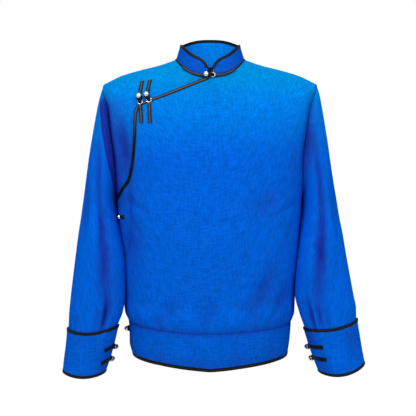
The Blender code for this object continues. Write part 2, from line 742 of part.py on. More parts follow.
def add_sleeve(side, name, linen):
    """Add a sleeve from the armhole to just inside its cuff."""
    surface, normal = make_sleeve(side)
    rows = [float(i) for i in range(int(CUFF_TOP_ROW) + 1)] + [SLEEVE_END_ROW]
    outer = [[surface(around, row) for around in sleeve_angles()] for row in rows]
    inner = [[surface(around, row) - normal(around, row) * CLOTH for around in sleeve_angles()]
             for row in rows]
    inner[0] = [point - armhole_rim(side, around) * CLOTH
                for point, around in zip(outer[0], sleeve_angles())]
    add_wall("sleeve_" + name, outer, inner, linen, wrap=True)


def cuff_surface(side):
    """Return the cuff's outer face as a function, and its outward direction."""
    surface, normal = make_sleeve(side)

    def outer(around, row):
        return surface(around, row) + normal(around, row) * CUFF_STAND_OFF

    return outer, normal


def add_cuff(side, name, linen, satin):
    """Add a cuff, split along its inner side, and the binding on its two edges."""
    outer_face, normal = cuff_surface(side)
    angles = [180.0 + CUFF_SLIT_TURN] + [180.0 + angle for angle in sleeve_angles()[1:]]
    angles.append(540.0 - CUFF_SLIT_TURN)
    rows = [CUFF_TOP_ROW, CUFF_TOP_ROW + 1.0, CUFF_TOP_ROW + 2.0, CUFF_BOTTOM_ROW]
    outer = [[outer_face(around, row) for around in angles] for row in rows]
    inner = [[outer_face(around, row) - normal(around, row) * CUFF_CLOTH for around in angles]
             for row in rows]
    add_wall("cuff_" + name, outer, inner, linen)
    for label, first, second in (("top", 0, 1), ("bottom", -1, -2)):
        edge = outer[first]
        normals = [normal(around, rows[first]) for around in angles]
        inward = edge_frames(edge, normals, outer[second], False)
        section = edge_section(CUFF_CLOTH, 0.0 if label == "top" else BINDING_PROUD)
        add_ribbon("binding_cuff_%s_%s" % (label, name), edge, normals, inward, section, satin)


def collar_turns():
    """Return the turns of the collar's columns, closer together at its rounded corners."""
    corner = [COLLAR_END_TURN] + [4.5 * i for i in range(1, 7)]
    side = [27.0 + 9.0 * i for i in range(1, 8)]
    back = [90.0 + 9.0 * i for i in range(1, 11)]
    half = corner + side + back
    return half + [360.0 - turn for turn in reversed(half[:-1])]


def collar_point(turn, up):
    """Return a point of the collar's outer face, up 0 at its seam and 1 on its top edge."""
    base = ring_point(turn, 0.0)
    cosine = math.cos(math.radians(turn))
    end_height = COLLAR_HEIGHT_FRONT if cosine > 0.0 else COLLAR_HEIGHT_BACK
    height = COLLAR_HEIGHT_SIDE + (end_height - COLLAR_HEIGHT_SIDE) * cosine ** 2
    top = base * np.array([COLLAR_LEAN, COLLAR_LEAN, 1.0]) + np.array([0.0, 0.0, height])
    from_middle = math.radians(abs((turn + 180.0) % 360.0 - 180.0)) * NECK_RADIUS
    share = COLLAR_CORNER_SHARE + (1.0 - COLLAR_CORNER_SHARE) * smooth_step(from_middle / COLLAR_CORNER)
    return base + (top - base) * share * up


def add_collar(linen, satin):
    """Add the stand collar and the binding on its top edge and over its seam."""
    turns = collar_turns()
    outer, inner, tops = [], [], []
    for turn in turns:
        base, top = collar_point(turn, 0.0), collar_point(turn, 1.0)
        height = np.linalg.norm(top - base)
        step = COLLAR_TURN_STEP
        along = collar_point(turn + step, 0.5) - collar_point(turn - step, 0.5)
        normal = unit(np.cross(base - top, along))
        lift = unit(top - base) * 2.0 * SEAM_GAP
        cloth_top = base + (top - base) * (1.0 - BINDING_WIDTH / height)
        column = [base + lift + (cloth_top - base - lift) * share for share in COLLAR_SHARES]
        outer.append(column)
        inner.append([point - normal * COLLAR_CLOTH for point in column])
        tops.append((cloth_top, normal))
    outer = np.swapaxes(np.asarray(outer), 0, 1)
    inner = np.swapaxes(np.asarray(inner), 0, 1)
    add_wall("collar", outer, inner, linen)

    edge = [point for point, _ in tops]
    normals = [normal for _, normal in tops]
    inward = edge_frames(edge, normals, outer[0], False)
    section = edge_section(COLLAR_CLOTH, BINDING_PROUD)
    add_ribbon("binding_collar_top", edge, normals, inward, section, satin)

    edge = [ring_point(turn, 0.0) for turn in turns]
    normals = [body_normal(turn, 0.0) for turn in turns]
    inward = facet_frames(edge, [ring_point(turn, NECK_ROWS[1]) for turn in turns])
    section = flat_section(NECK_BINDING_LIFT)
    section = tuple((max(across, 2.0 * SEAM_GAP), out) for across, out in section)
    add_ribbon("binding_collar_base", edge, normals, inward, section, satin)


def add_band(linen, satin):
    """Add the band at the hem, open at the viewer's left side, and the binding on its lower edge."""
    front = list(np.linspace(-90.0 + BAND_SLIT_TURN, 90.0, FRONT_COLUMNS + 1))
    back = list(np.linspace(90.0, 270.0 - BAND_SLIT_TURN, BACK_COLUMNS + 1))[1:]
    turns = front + back
    outer = [[body_point(turn, row) for turn in turns] for row in BAND_ROWS]
    inner = [[body_point(turn, row) - body_normal(turn, row) * BAND_CLOTH for turn in turns]
             for row in BAND_ROWS]
    add_wall("hem_band", outer, inner, linen)
    edge = outer[-1]
    normals = [body_normal(turn, BAND_ROWS[-1]) for turn in turns]
    inward = edge_frames(edge, normals, outer[-2], False)
    add_ribbon("binding_hem", edge, normals, inward, edge_section(BAND_CLOTH, BINDING_PROUD), satin)


def facets_of(name):
    """Return a built object's faces for casting rays at them."""
    mesh = bpy.data.objects[name].data
    return BVHTree.FromPolygons([tuple(vertex.co) for vertex in mesh.vertices],
                                [tuple(face.vertices) for face in mesh.polygons])


def lay_on(tree, place, normal):
    """Return the place moved along its normal onto the outer face below it."""
    hit = tree.ray_cast(Vector((place + normal * LAY_REACH) * MM), Vector(-normal), 2.0 * LAY_REACH * MM)
    return place if hit[0] is None else np.array(hit[0]) / MM


def divided(vectors, counts):
    """Return the list with each stretch between two neighbours divided into this many steps."""
    result = [vectors[0]]
    for before, after, count in zip(vectors, vectors[1:], counts):
        result += [before + (after - before) * (step + 1) / count for step in range(count)]
    return result


def add_edge_binding(name, rows, tree, satin):
    """Add a stretch of the binding along the front's free edge, laid on the cloth under it."""
    edge = [body_point(opening_turn(row), row) for row in rows]
    normals = [body_normal(opening_turn(row), row) for row in rows]
    toward = [body_point(opening_turn(row) + BINDING_SIDE_TURN, row) for row in rows]
    frames = edge_frames(edge, normals, toward, False)
    near = [place + side * SEAM_GAP for place, side in zip(edge, frames)]
    counts = [math.ceil(np.linalg.norm(after - before) / BINDING_STEP)
              for before, after in zip(near, near[1:])]
    near = divided(near, counts)
    normals = [unit(normal) for normal in divided(normals, counts)]
    frames = [unit(side) for side in divided(frames, counts)]
    far = [lay_on(tree, place + side * BINDING_WIDTH, normal)
           for place, side, normal in zip(near, frames, normals)]
    inward = [(there - here) / BINDING_WIDTH for here, there in zip(near, far)]
    add_ribbon(name, near, normals, inward, flat_section(EDGE_BINDING_LIFT), satin)


def add_opening_bindings(satin):
    """Add the binding on the front's slanting edge, and its second stretch down the side to the hem."""
    slant = list(NECK_ROWS[1:]) + [row for row in armhole_rows() if row <= SLANT_BINDING_END]
    side = [row for row in BODY_ROWS if row >= SIDE_BINDING_START]
    add_edge_binding("binding_opening", slant, facets_of("front_main"), satin)
    add_edge_binding("binding_side", side + list(BAND_ROWS[1:]), facets_of("front_main"), satin)


def edge_places(mesh):
    """Return places along every edge of a mesh."""
    ends = [[mesh.vertices[index].co for index in edge.vertices] for edge in mesh.edges]
    return [start.lerp(end, share) for start, end in ends for share in EDGE_SHARES]


class Layers:
    """The solids that are already there, on which straps and buttons are laid."""

    def __init__(self):
        items = list(bpy.context.scene.objects)
        self.trees = [facets_of(item.name) for item in items]
        self.places = [place for item in items for place in edge_places(item.data)]

    def height(self, place, outward, spread):
        """Return how high above a place the topmost layer reaches, looking round it."""
        side = unit(np.cross(outward, LAYER_GUIDE))
        other = np.cross(outward, side)
        reach = LAYER_REACH
        best = -reach
        for step in range(9):
            angle = math.radians(45.0 * step)
            shift = (side * math.cos(angle) + other * math.sin(angle)) * (spread if step < 8 else 0.0)
            start = Vector((place + shift + outward * reach) * MM)
            for tree in self.trees:
                hit = tree.ray_cast(start, Vector(-outward), 2.0 * reach * MM)
                if hit[0] is not None:
                    best = max(best, reach - hit[3] / MM)
        return best


def room_below(mesh, layers, outward):
    """Return how far a mesh can move in along a direction before it meets one of the layers."""
    own = BVHTree.FromPolygons([vertex.co for vertex in mesh.vertices],
                               [tuple(face.vertices) for face in mesh.polygons])
    reach = LAYER_REACH * MM
    hits = [own.ray_cast(place, Vector(outward), reach) for place in layers.places]
    for tree in layers.trees:
        hits += [tree.ray_cast(place, Vector(-outward), reach) for place in edge_places(mesh)]
    return min([hit[3] for hit in hits if hit[0] is not None] + [reach]) / MM


def add_strap(name, layers, path, outwards, width, satin):
    """Add a flat strap that follows a path on top of whatever lies there."""
    spread = width * STRAP_SPREAD
    heights = [layers.height(place, outward, spread) for place, outward in zip(path, outwards)]
    raised = [max(heights[max(i - 1, 0):i + 2]) for i in range(len(heights))]
    edge = [place + outward * (height + STRAP_CLEARANCE)
            for place, outward, height in zip(path, outwards, raised)]
    toward = [place + np.cross(outward, edge[-1] - edge[0]) for place, outward in zip(edge, outwards)]
    inward = edge_frames(edge, outwards, toward, False)
    half = width / 2.0
    crown = half - STRAP_BEVEL
    shoulder = STRAP_THICKNESS - STRAP_BEVEL / 2.0
    section = ((-half, 0.0), (half, 0.0), (half, shoulder), (crown, STRAP_THICKNESS),
               (-crown, STRAP_THICKNESS), (-half, shoulder))
    add_ribbon(name, edge, outwards, inward, section, satin)


def make_button_mesh():
    """Return the mesh of a silver button: a ball, a shank and a ring joined into one solid."""
    bpy.ops.mesh.primitive_uv_sphere_add(segments=9, ring_count=6, radius=BALL_RADIUS * MM,
                                         location=(0.0, 0.0, BALL_RADIUS * MM))
    ball = bpy.context.object
    length = (BALL_TO_RING - RING_RADIUS) * MM
    bpy.ops.mesh.primitive_cylinder_add(vertices=6, radius=SHANK_RADIUS * MM, depth=length,
                                        location=(length / 2.0, 0.0, SHANK_HEIGHT * MM),
                                        rotation=(0.0, math.radians(90.0), 0.0))
    shank = bpy.context.object
    bpy.ops.mesh.primitive_torus_add(major_segments=10, minor_segments=4, major_radius=RING_RADIUS * MM,
                                     minor_radius=RING_WIRE * MM,
                                     location=(BALL_TO_RING * MM, 0.0, SHANK_HEIGHT * MM))
    ring = bpy.context.object
    for other in (shank, ring):
        union = ball.modifiers.new(other.name, "BOOLEAN")
        union.operation = "UNION"
        union.object = other
    graph = bpy.context.evaluated_depsgraph_get()
    mesh = bpy.data.meshes.new_from_object(ball.evaluated_get(graph))
    mesh.transform(ball.matrix_world)
    for item in (ball, shank, ring):
        bpy.data.objects.remove(item)
    return mesh


def add_button(name, layers, ball, ring, outward, mesh, silver):
    """Add a button with its ball over one place and its ring over another."""
    height = max(layers.height(place, outward, BUTTON_SPREAD)
                 for place in (ball, (ball + ring) / 2.0, ring))
    axis = ring - ball
    axis = unit(axis - outward * np.dot(axis, outward))
    side = np.cross(outward, axis)
    middle = (ball + ring) / 2.0
    shift = np.dot(ball + axis * BALL_TO_RING / 2.0 - middle, axis)
    base = ball - axis * shift + outward * (height - np.dot(ball - middle, outward) + BUTTON_LIFT)
    frame = Matrix((
        (axis[0], side[0], outward[0], base[0] * MM),
        (axis[1], side[1], outward[1], base[1] * MM),
        (axis[2], side[2], outward[2], base[2] * MM),
        (0.0, 0.0, 0.0, 1.0),
    ))
    copy = mesh.copy()
    copy.transform(frame)
    drop = room_below(copy, layers, outward) - BUTTON_SEAT_GAP
    copy.transform(Matrix.Translation(Vector(-outward * drop * MM)))
    copy.materials.clear()
    copy.materials.append(silver)
    copy.shade_smooth()
    copy.set_sharp_from_angle(angle=math.radians(BUTTON_SHARP_ANGLE))
    result = bpy.data.objects.new(name, copy)
    bpy.context.scene.collection.objects.link(result)


def strap_path(start, end, steps):
    """Return evenly spaced places from one to the other."""
    return [start + (end - start) * i / steps for i in range(steps + 1)]


def front_place(x, z):
    """Return the place and outward direction of the front at an x and a height, found by stepping."""
    turn, row = math.degrees(math.atan2(x, 100.0)), 0.6
    for _ in range(30):
        here = ring_point(turn, row)
        by_turn = (ring_point(turn + 0.5, row) - here) / 0.5
        by_row = (ring_point(turn, row + 0.01) - here) / 0.01
        slopes = np.array([[by_turn[0], by_row[0]], [by_turn[2], by_row[2]]])
        step = np.linalg.solve(slopes, np.array([x - here[0], z - here[2]]))
        turn += float(np.clip(step[0], -10.0, 10.0))
        row = float(np.clip(row + np.clip(step[1], -0.3, 0.3), 0.001, 2.9))
    return ring_point(turn, row), outward_normal(ring_point, turn, inside_rows(row), BODY_STEPS, 1.0)


def add_front_frog(frog, layers, button, satin, silver):
    """Add a fastening that is seen from the front."""
    ball, ball_out = front_place(*frog.ball)
    ring, ring_out = front_place(*frog.ring)
    outward = unit(ball_out + ring_out)
    add_button("button_" + frog.name, layers, ball, ring, outward, button, silver)
    for label, centre, size, end in (("ball", frog.ball, BALL_RADIUS, frog.ball_strap_end),
                                     ("ring", frog.ring, RING_RADIUS + RING_WIRE, frog.ring_strap_end)):
        start, end = np.array(centre), np.array(end)
        start = start + unit(end - start) * (size + 1.0)
        places = [front_place(x, z) for x, z in strap_path(start, end, 4)]
        add_strap("strap_%s_%s" % (frog.name, label), layers, [place for place, _ in places],
                  [out for _, out in places], frog.width, satin)


def add_surface_frog(name, layers, surface, normal, spots, straps, width, button, satin, silver):
    """Add a fastening on a side or a cuff, its places given on the surface there."""
    ball, ring = (surface(*spot) for spot in spots)
    outward = unit(normal(*spots[0]) + normal(*spots[1]))
    add_button("button_" + name, layers, ball, ring, outward, button, silver)
    for label, (start, end) in zip(("ball", "ring"), straps):
        spots_along = strap_path(np.array(start), np.array(end), 6)
        add_strap("strap_%s_%s" % (name, label), layers, [surface(*spot) for spot in spots_along],
                  [normal(*spot) for spot in spots_along], width, satin)


def add_frogs(satin, silver):
    """Add all nine fastenings."""
    button = make_button_mesh()
    layers = Layers()
    for frog in FRONT_FROGS:
        add_front_frog(frog, layers, button, satin, silver)
    for frog in SIDE_FROGS:
        straps = [[(turn, frog.row) for turn in pair] for pair in (frog.ball_strap, frog.ring_strap)]
        spots = ((frog.ball, frog.row), (frog.ring, frog.row))
        add_surface_frog(frog.name, layers, body_point, body_normal, spots, straps, STRAP_WIDTH,
                         button, satin, silver)
    for side, name in ((-1, "left"), (1, "right")):
        surface, normal = cuff_surface(side)
        for frog in CUFF_FROGS:
            strap = frog.left if side < 0 else frog.right
            spots = ((CUFF_BALL_AROUND, frog.row), (CUFF_RING_AROUND, frog.row))
            ball_strap = ((CUFF_BALL_STRAP[0], frog.row), (CUFF_BALL_STRAP[1], frog.row))
            ring_strap = ((strap.far_angle, strap.far_row), (strap.near_angle, strap.near_row))
            add_surface_frog("cuff_%s_%s" % (name, frog.name), layers, surface, normal, spots,
                             (ball_strap, ring_strap), STRAP_WIDTH, button, satin, silver)
    bpy.data.meshes.remove(button)


def main():
    """Clear the scene and add every piece."""
    for item in list(bpy.data.objects):
        bpy.data.objects.remove(item)
    linen = make_material("blue_linen")
    satin = make_material("black_satin")
    silver = make_material("silver")
    add_body(linen)
    for side, name in ((-1, "left"), (1, "right")):
        add_sleeve(side, name, linen)
        add_cuff(side, name, linen, satin)
    add_collar(linen, satin)
    add_band(linen, satin)
    add_opening_bindings(satin)
    add_frogs(satin, silver)


main()
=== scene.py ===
"""A stand collar jacket in azure linen, bound in black satin and closed with silver ball buttons.

Lengths are millimetres in the tables and metres in the meshes. The front faces -Y and +Z is up. A place
on the body has a turn, the angle round it with 0 at the middle of the front and 90 at the viewer's
right, and a row: 0 at the neck, 1 at the shoulder tip, 2 at the underarm, 3 at the band, 4 at the hem.
"""
import math
from collections import namedtuple

import bpy
import numpy as np
from mathutils import Matrix, Vector
from mathutils.bvhtree import BVHTree


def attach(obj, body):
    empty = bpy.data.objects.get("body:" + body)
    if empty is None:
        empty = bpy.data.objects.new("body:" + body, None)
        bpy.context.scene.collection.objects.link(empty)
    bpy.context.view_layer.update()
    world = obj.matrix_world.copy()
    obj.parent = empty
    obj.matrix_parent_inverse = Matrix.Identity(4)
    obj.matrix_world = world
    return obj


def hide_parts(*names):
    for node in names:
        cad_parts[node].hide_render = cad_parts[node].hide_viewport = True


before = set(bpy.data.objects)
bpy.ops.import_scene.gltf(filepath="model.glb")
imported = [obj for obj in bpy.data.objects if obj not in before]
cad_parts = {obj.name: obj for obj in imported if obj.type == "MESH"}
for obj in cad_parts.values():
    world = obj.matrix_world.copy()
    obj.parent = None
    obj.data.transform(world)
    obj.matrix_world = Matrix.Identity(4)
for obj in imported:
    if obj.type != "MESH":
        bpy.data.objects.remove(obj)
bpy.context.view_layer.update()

MM = 0.001
UP = np.array([0.0, 0.0, 1.0])
PIECE = "_piece"

# Cloth and trim
CLOTH = 1.1
COLLAR_CLOTH = 2.2
CUFF_CLOTH = 1.8
BAND_CLOTH = 2.0
SEAM_TURNINGS = ((0.25, 0.5), (0.6, 1.6), (1.2, 4.5))
BINDING_WIDTH = 5.6
COLLAR_BINDING_WIDTH = 6.8
BINDING_LAP = 0.8
HEM_BINDING_LAP = 2.2
OPENING_BINDING_WIDTH = 6.6
PIPING_HALF_WIDTH = 2.3
EDGE_REACH = 6.0

CLOTH_SHARP_ANGLE = 60.0
HARD_SHARP_ANGLE = 50.0

# Weave: cycles for each metre across the cloth and along it, with slubs that run along the threads
WEFT = (50.0, 430.0)
WARP = (430.0, 65.0)
PATCHES = (9.0, 9.0)
WEFT_SHARE = 0.55
WEAVE_CONTRAST = 1.7
PATCH_CONTRAST = 0.14

# Satin: cycles for each metre along a strip, and over its whole width, of the streaks in its painted sheen
# and of its ribs
SATIN_SHEEN_STREAKS = (260.0, 9.0)
SATIN_RIBS = (900.0, 3.0)

# Armhole and sleeve
ARMHOLE_TOP = -54.0
ARMHOLE_BOTTOM = -308.0
ARMHOLE_HALF_DEPTH = 65.0
SLEEVE_GAP = 0.35
SLEEVE_FIT_ROWS = 3.0
SLEEVE_END_ROW = 14.5
ARMHOLE_DIP = 9.0
ARMHOLE_DIP_WIDTH = 10.0
ARMHOLE_DIP_START = 0.03
ARMHOLE_DIP_RISE = 0.2
ARMHOLE_DIP_FADE = 0.4
ARMHOLE_ROLL_ROW = 0.6

# Folds: what the depths in their tables are multiplied by, and the shade for each millimetre
FOLD_STRENGTH = 1.5
FOLD_SHADE = 0.07
FOLD_SIDE_FADE = 0.3
FOLD_ROW_LENGTH = 12.0
FOLD_CUFF_FADE = (0.2, 0.7)
FOLD_TOP_FADE = 2.0
# Painted light over each whole sleeve, taken off its painted shade
SLEEVE_BRIGHT = {-1: 0.03, 1: 0.09}

# Shade of the body beside the armholes: at the seam, and over a wider stretch inside it
ArmholeShade = namedtuple("ArmholeShade", "seam wide")
ARMHOLE_SHADES = {
    "left": ArmholeShade(0.62, 0.44),
    "right": ArmholeShade(0.30, 0.05),
    "back": ArmholeShade(0.45, 0.15),
}
ARMHOLE_SEAM_REACH = 9.0
ARMHOLE_WIDE_REACH = 46.0
ARMHOLE_SHADE_START = (0.06, 0.2)
ARMHOLE_SHADE_END = (1.12, 0.14)

# Shade by row: above and below the band's seam, over the cloth that swells above it, and down to the hem
BAND_SEAM_SHADE = 0.45
BAND_SEAM_REACH = 0.05
BAND_SHADE_ROW = 2.955
BAND_SHADE_RISE = 0.045
SWELL_ROW = 2.85
SWELL_BRIGHT = 0.14
HEM_SHADE = 0.16
HEM_SHADE_ROW = 3.45
HEM_SHADE_RISE = 0.5

# Shade of the sleeves: beside the armholes, above the cuffs and beneath the arms, in degrees and rows
SLEEVE_SEAM_SHADE = {-1: 0.92, 1: 0.80}
SLEEVE_SEAM_START = 26.0
SLEEVE_SEAM_RISE = 22.0
LEFT_SEAM_ROW = 0.3
LEFT_SEAM_FRONT_ROWS = 1.3
LEFT_SEAM_FADE = 0.25
RIGHT_SEAM_AROUND = 92.0
RIGHT_SEAM_REACH = 28.0
RIGHT_SEAM_ROWS = 1.8
RIGHT_SEAM_LEAST = 0.3125
CUFF_SEAM_SHADE = 0.35
CUFF_SEAM_REACH = 0.14
UNDERARM_SHADE = 0.22
UNDERARM_REACH = 40.0
UNDERARM_ROW = 6.0

# Front edges, the rows between which they are bound, and half the slit in the band below them
OPENING_ROWS = (0.02, 1.0, 1.93)
SIDE_SEAM_ROWS = (2.05, 3.0, 3.98)
BAND_SLIT_TURN = 0.1
LAP_TURN = 14.0
LAP_DROP = 2.5
LAP_FADE = 15.0

# Collar
COLLAR_HEIGHT_FRONT = 38.0
COLLAR_HEIGHT_SIDE = 33.0
COLLAR_HEIGHT_BACK = 35.5
COLLAR_SWELL = 5.0
COLLAR_LEAN = 0.867
COLLAR_CORNER = 27.0
COLLAR_CORNER_SHARE = 0.10
COLLAR_GAP = 2.2
COLLAR_END_TURN = 1.7
COLLAR_FRONT_TURN = 30.0
COLLAR_CORNER_POWER = 0.40
COLLAR_CLOTH_LAP = 0.9
COLLAR_TURN_UNDER = 3.0
COLLAR_FACING = 22.0
NECK_RADIUS = 78.0

# Cuffs
CUFF_TOP_ROW = 14.0
CUFF_BOTTOM_ROW = 17.0
CUFF_STAND_OFF = 3.2
CUFF_SLIT_TURN = 0.4

# Fastenings
STRAP_WIDTH = 8.0
STRAP_THICKNESS = 1.9
STRAP_GROOVE = 0.35
STRAP_GROOVE_SHARE = 0.22
STRAP_LIFT = 0.3
STRAP_SINK = 0.1
STRAP_STEPS = 26
SIDE_STRAP_STEPS = 20
BALL_RADIUS = 5.9
RING_RADIUS = 4.3
RING_WIRE = 1.35
RING_SHOWN_RADIUS = 4.75
RING_SHOWN_WIRE = 0.85
SHANK_RADIUS = 1.3
SHANK_HEIGHT = 3.2
BALL_TO_RING = 14.2
LOOP_RADIUS = 5.6
LOOP_CORD = 1.25
LOOP_HEIGHT = 1.5
KNOT_TURNS = ((6.9, 24.0), (9.4, -22.0), (11.8, 20.0))
KNOT_RADIUS = 2.9
KNOT_CORD = 1.9
BEAD_RADIUS = 3.9
BEAD_HEIGHT = 2.6
LAYER_REACH = 7.0

# Shoulder seam, from the neck to the tip
Shoulder = namedtuple("Shoulder", "row height half_width")
SHOULDERS = (
    Shoulder(0.00, 0.0, 75.0),
    Shoulder(0.25, -13.0, 113.0),
    Shoulder(0.50, -22.8, 152.0),
    Shoulder(0.75, -35.0, 193.0),
    Shoulder(1.00, ARMHOLE_TOP, 232.5),
)

# Armhole edge, by the share of its height
ArmholeEdge = namedtuple("ArmholeEdge", "fall left right")
ARMHOLE_EDGES = (
    ArmholeEdge(0.00, 232.5, 232.5),
    ArmholeEdge(0.08, 232.5, 229.0),
    ArmholeEdge(0.23, 227.0, 220.0),
    ArmholeEdge(0.44, 220.0, 210.5),
    ArmholeEdge(0.64, 213.0, 205.0),
    ArmholeEdge(0.84, 206.5, 202.0),
    ArmholeEdge(1.00, 204.0, 200.5),
)

# Side seam, from the underarm to the lower edge of the band
Side = namedtuple("Side", "row height left right")
SIDES = (
    Side(2.00, ARMHOLE_BOTTOM, 204.0, 200.5),
    Side(2.10, -334.0, 201.5, 198.5),
    Side(2.25, -372.0, 197.5, 195.5),
    Side(2.40, -412.0, 193.5, 195.0),
    Side(2.60, -466.0, 190.0, 191.0),
    Side(2.80, -520.0, 188.0, 185.5),
    Side(2.92, -551.0, 185.5, 184.0),
    Side(3.00, -571.5, 177.0, 177.0),
    Side(3.35, -596.0, 175.3, 175.0),
    Side(3.70, -619.0, 175.0, 172.5),
    Side(4.00, -638.5, 170.5, 169.5),
)

# Middle of the front and of the back, with the outline's shape in plan and in its rise to the sides
Middle = namedtuple("Middle", "row front_z back_z front_depth back_depth roundness rise")
MIDDLES = (
    Middle(0.00, -46.0, 18.0, 80.0, 60.0, 2.10, 2.7),
    Middle(0.25, -66.0, -3.0, 87.0, 73.0, 2.20, 2.6),
    Middle(0.50, -88.0, -26.0, 93.0, 85.0, 2.30, 2.5),
    Middle(0.75, -111.0, -52.0, 98.5, 95.0, 2.40, 2.4),
    Middle(1.00, -134.0, -80.0, 103.5, 103.0, 2.50, 2.3),
    Middle(1.35, -195.0, -152.0, 112.0, 112.0, 2.60, 2.2),
    Middle(1.65, -250.0, -222.0, 117.5, 116.0, 2.60, 2.1),
    Middle(2.00, -318.0, -306.0, 121.0, 114.5, 2.60, 2.0),
    Middle(2.25, -384.0, -370.0, 122.0, 110.0, 2.55, 2.0),
    Middle(2.60, -480.0, -464.0, 121.0, 107.0, 2.50, 2.0),
    Middle(2.92, -569.0, -549.0, 122.5, 110.0, 2.50, 2.0),
    Middle(3.00, -589.0, -570.0, 117.0, 105.5, 2.50, 1.8),
    Middle(3.70, -642.0, -620.0, 115.0, 104.0, 2.50, 1.4),
    Middle(4.00, -662.5, -639.5, 112.0, 102.0, 2.50, 1.35),
)

# Slanting edge of the front, from the middle of the neck to the underarm
EdgePoint = namedtuple("EdgePoint", "height x")
OPENING = (
    EdgePoint(-46.0, 0.0),
    EdgePoint(-58.5, -32.0),
    EdgePoint(-71.5, -64.0),
    EdgePoint(-84.0, -95.0),
    EdgePoint(-93.0, -120.0),
    EdgePoint(-101.5, -141.0),
    EdgePoint(-108.0, -152.0),
    EdgePoint(-118.0, -158.5),
    EdgePoint(-139.0, -160.8),
    EdgePoint(-171.0, -161.5),
    EdgePoint(-203.0, -163.3),
    EdgePoint(-236.0, -168.0),
    EdgePoint(-262.0, -174.5),
    EdgePoint(-284.0, -187.0),
    EdgePoint(-297.0, -197.0),
    EdgePoint(ARMHOLE_BOTTOM, -204.0),
)

# Folds on the body, from one point to another: a trough, or a ridge where the depth is negative
Fold = namedtuple("Fold", "x0 z0 x1 z1 width depth")
FRONT_FOLDS = (
    Fold(-196.0, -128.0, -172.0, -262.0, 14.0, 5.0),
    Fold(-176.0, -330.0, -158.0, -470.0, 20.0, 3.0),
    Fold(-120.0, -575.0, -60.0, -520.0, 16.0, 2.5),
    Fold(-20.0, -582.0, 10.0, -515.0, 18.0, 2.5),
    Fold(70.0, -580.0, 150.0, -430.0, 20.0, 4.0),
    Fold(132.0, -565.0, 172.0, -480.0, 14.0, 3.5),
    Fold(186.0, -150.0, 178.0, -300.0, 15.0, 1.5),
    Fold(150.0, -290.0, 90.0, -350.0, 24.0, 3.0),
    Fold(-185.0, -300.0, -120.0, -345.0, 7.0, 1.6),
    Fold(-187.0, -318.0, -140.0, -395.0, 6.0, 1.5),
    Fold(188.0, -306.0, 128.0, -352.0, 7.0, 1.5),
    Fold(184.0, -340.0, 150.0, -420.0, 6.0, 1.2),
    Fold(-171.0, -252.0, -172.0, -378.0, 5.0, 2.6),
    Fold(-172.0, -355.0, -185.0, -445.0, 6.0, 2.2),
    Fold(-186.0, -262.0, -183.0, -300.0, 7.0, -1.6),
    Fold(-112.0, -592.0, -104.0, -668.0, 11.0, 1.1),
    Fold(-34.0, -598.0, -26.0, -672.0, 14.0, 1.0),
    Fold(52.0, -598.0, 66.0, -670.0, 13.0, 1.1),
    Fold(124.0, -588.0, 138.0, -656.0, 11.0, 1.2),
    Fold(-100.0, -590.0, -118.0, -548.0, 6.0, 1.3),
    Fold(-62.0, -590.0, -66.0, -552.0, 7.0, 1.2),
    Fold(28.0, -592.0, 33.0, -548.0, 7.0, 1.2),
    Fold(94.0, -588.0, 108.0, -540.0, 6.0, 1.4),
    Fold(118.0, -586.0, 138.0, -545.0, 5.0, 1.1),
    Fold(150.0, -580.0, 163.0, -536.0, 6.0, 1.3),
    Fold(-150.0, -582.0, -160.0, -540.0, 6.0, 1.2),
)
BACK_FOLDS = (
    Fold(-180.0, -150.0, -150.0, -300.0, 18.0, 5.0),
    Fold(182.0, -150.0, 152.0, -290.0, 18.0, 4.5),
    Fold(-110.0, -560.0, -60.0, -440.0, 18.0, 4.5),
    Fold(15.0, -562.0, -10.0, -410.0, 22.0, 3.5),
    Fold(95.0, -560.0, 70.0, -450.0, 17.0, 4.5),
    Fold(150.0, -555.0, 160.0, -470.0, 15.0, 3.5),
    Fold(-186.0, -300.0, -128.0, -352.0, 7.0, 1.6),
    Fold(186.0, -300.0, 132.0, -346.0, 7.0, 1.4),
    Fold(-140.0, -575.0, -150.0, -530.0, 6.0, 1.3),
    Fold(-84.0, -574.0, -92.0, -520.0, 7.0, 1.4),
    Fold(-30.0, -574.0, -34.0, -528.0, 6.0, 1.2),
    Fold(52.0, -574.0, 50.0, -522.0, 7.0, 1.4),
    Fold(124.0, -572.0, 134.0, -528.0, 6.0, 1.3),
)

# Sections of a sleeve and its cuff
Section = namedtuple("Section", "outer_x outer_z inner_x inner_z centre_y half_depth droop")
LEFT_SECTIONS = (
    Section(232.5, -54.0, 204.0, -308.0, 0.0, 65.0, 0.0),
    Section(240.0, -76.0, 204.0, -309.0, 0.0, 66.5, 0.0),
    Section(246.8, -104.0, 203.9, -311.0, 0.0, 68.0, 0.0),
    Section(253.5, -140.0, 203.6, -313.0, 0.0, 70.0, 0.0),
    Section(260.5, -180.0, 203.3, -315.5, 1.0, 71.5, 0.0),
    Section(267.0, -222.0, 202.9, -318.0, 1.0, 73.0, 0.0),
    Section(272.5, -264.0, 202.3, -321.0, 1.0, 74.0, 0.0),
    Section(277.5, -305.0, 201.5, -327.0, 0.0, 74.0, 0.0),
    Section(282.0, -343.0, 199.5, -344.0, -6.0, 72.0, 0.0),
    Section(285.5, -381.0, 191.8, -382.0, -26.0, 65.0, 0.0),
    Section(289.5, -424.0, 184.8, -424.0, -40.0, 58.0, 0.0),
    Section(294.0, -468.0, 182.0, -467.0, -48.0, 53.0, 0.0),
    Section(298.5, -512.0, 182.0, -510.0, -53.0, 50.0, 2.0),
    Section(301.5, -550.0, 187.0, -547.0, -58.0, 48.0, 5.0),
    Section(302.5, -586.0, 199.0, -579.0, -62.0, 45.0, 9.0),
    Section(304.5, -616.0, 206.5, -611.0, -65.0, 43.0, 10.0),
    Section(308.0, -646.0, 214.5, -641.0, -68.0, 41.5, 9.5),
    Section(309.8, -667.0, 223.5, -668.0, -71.0, 40.0, 8.5),
)
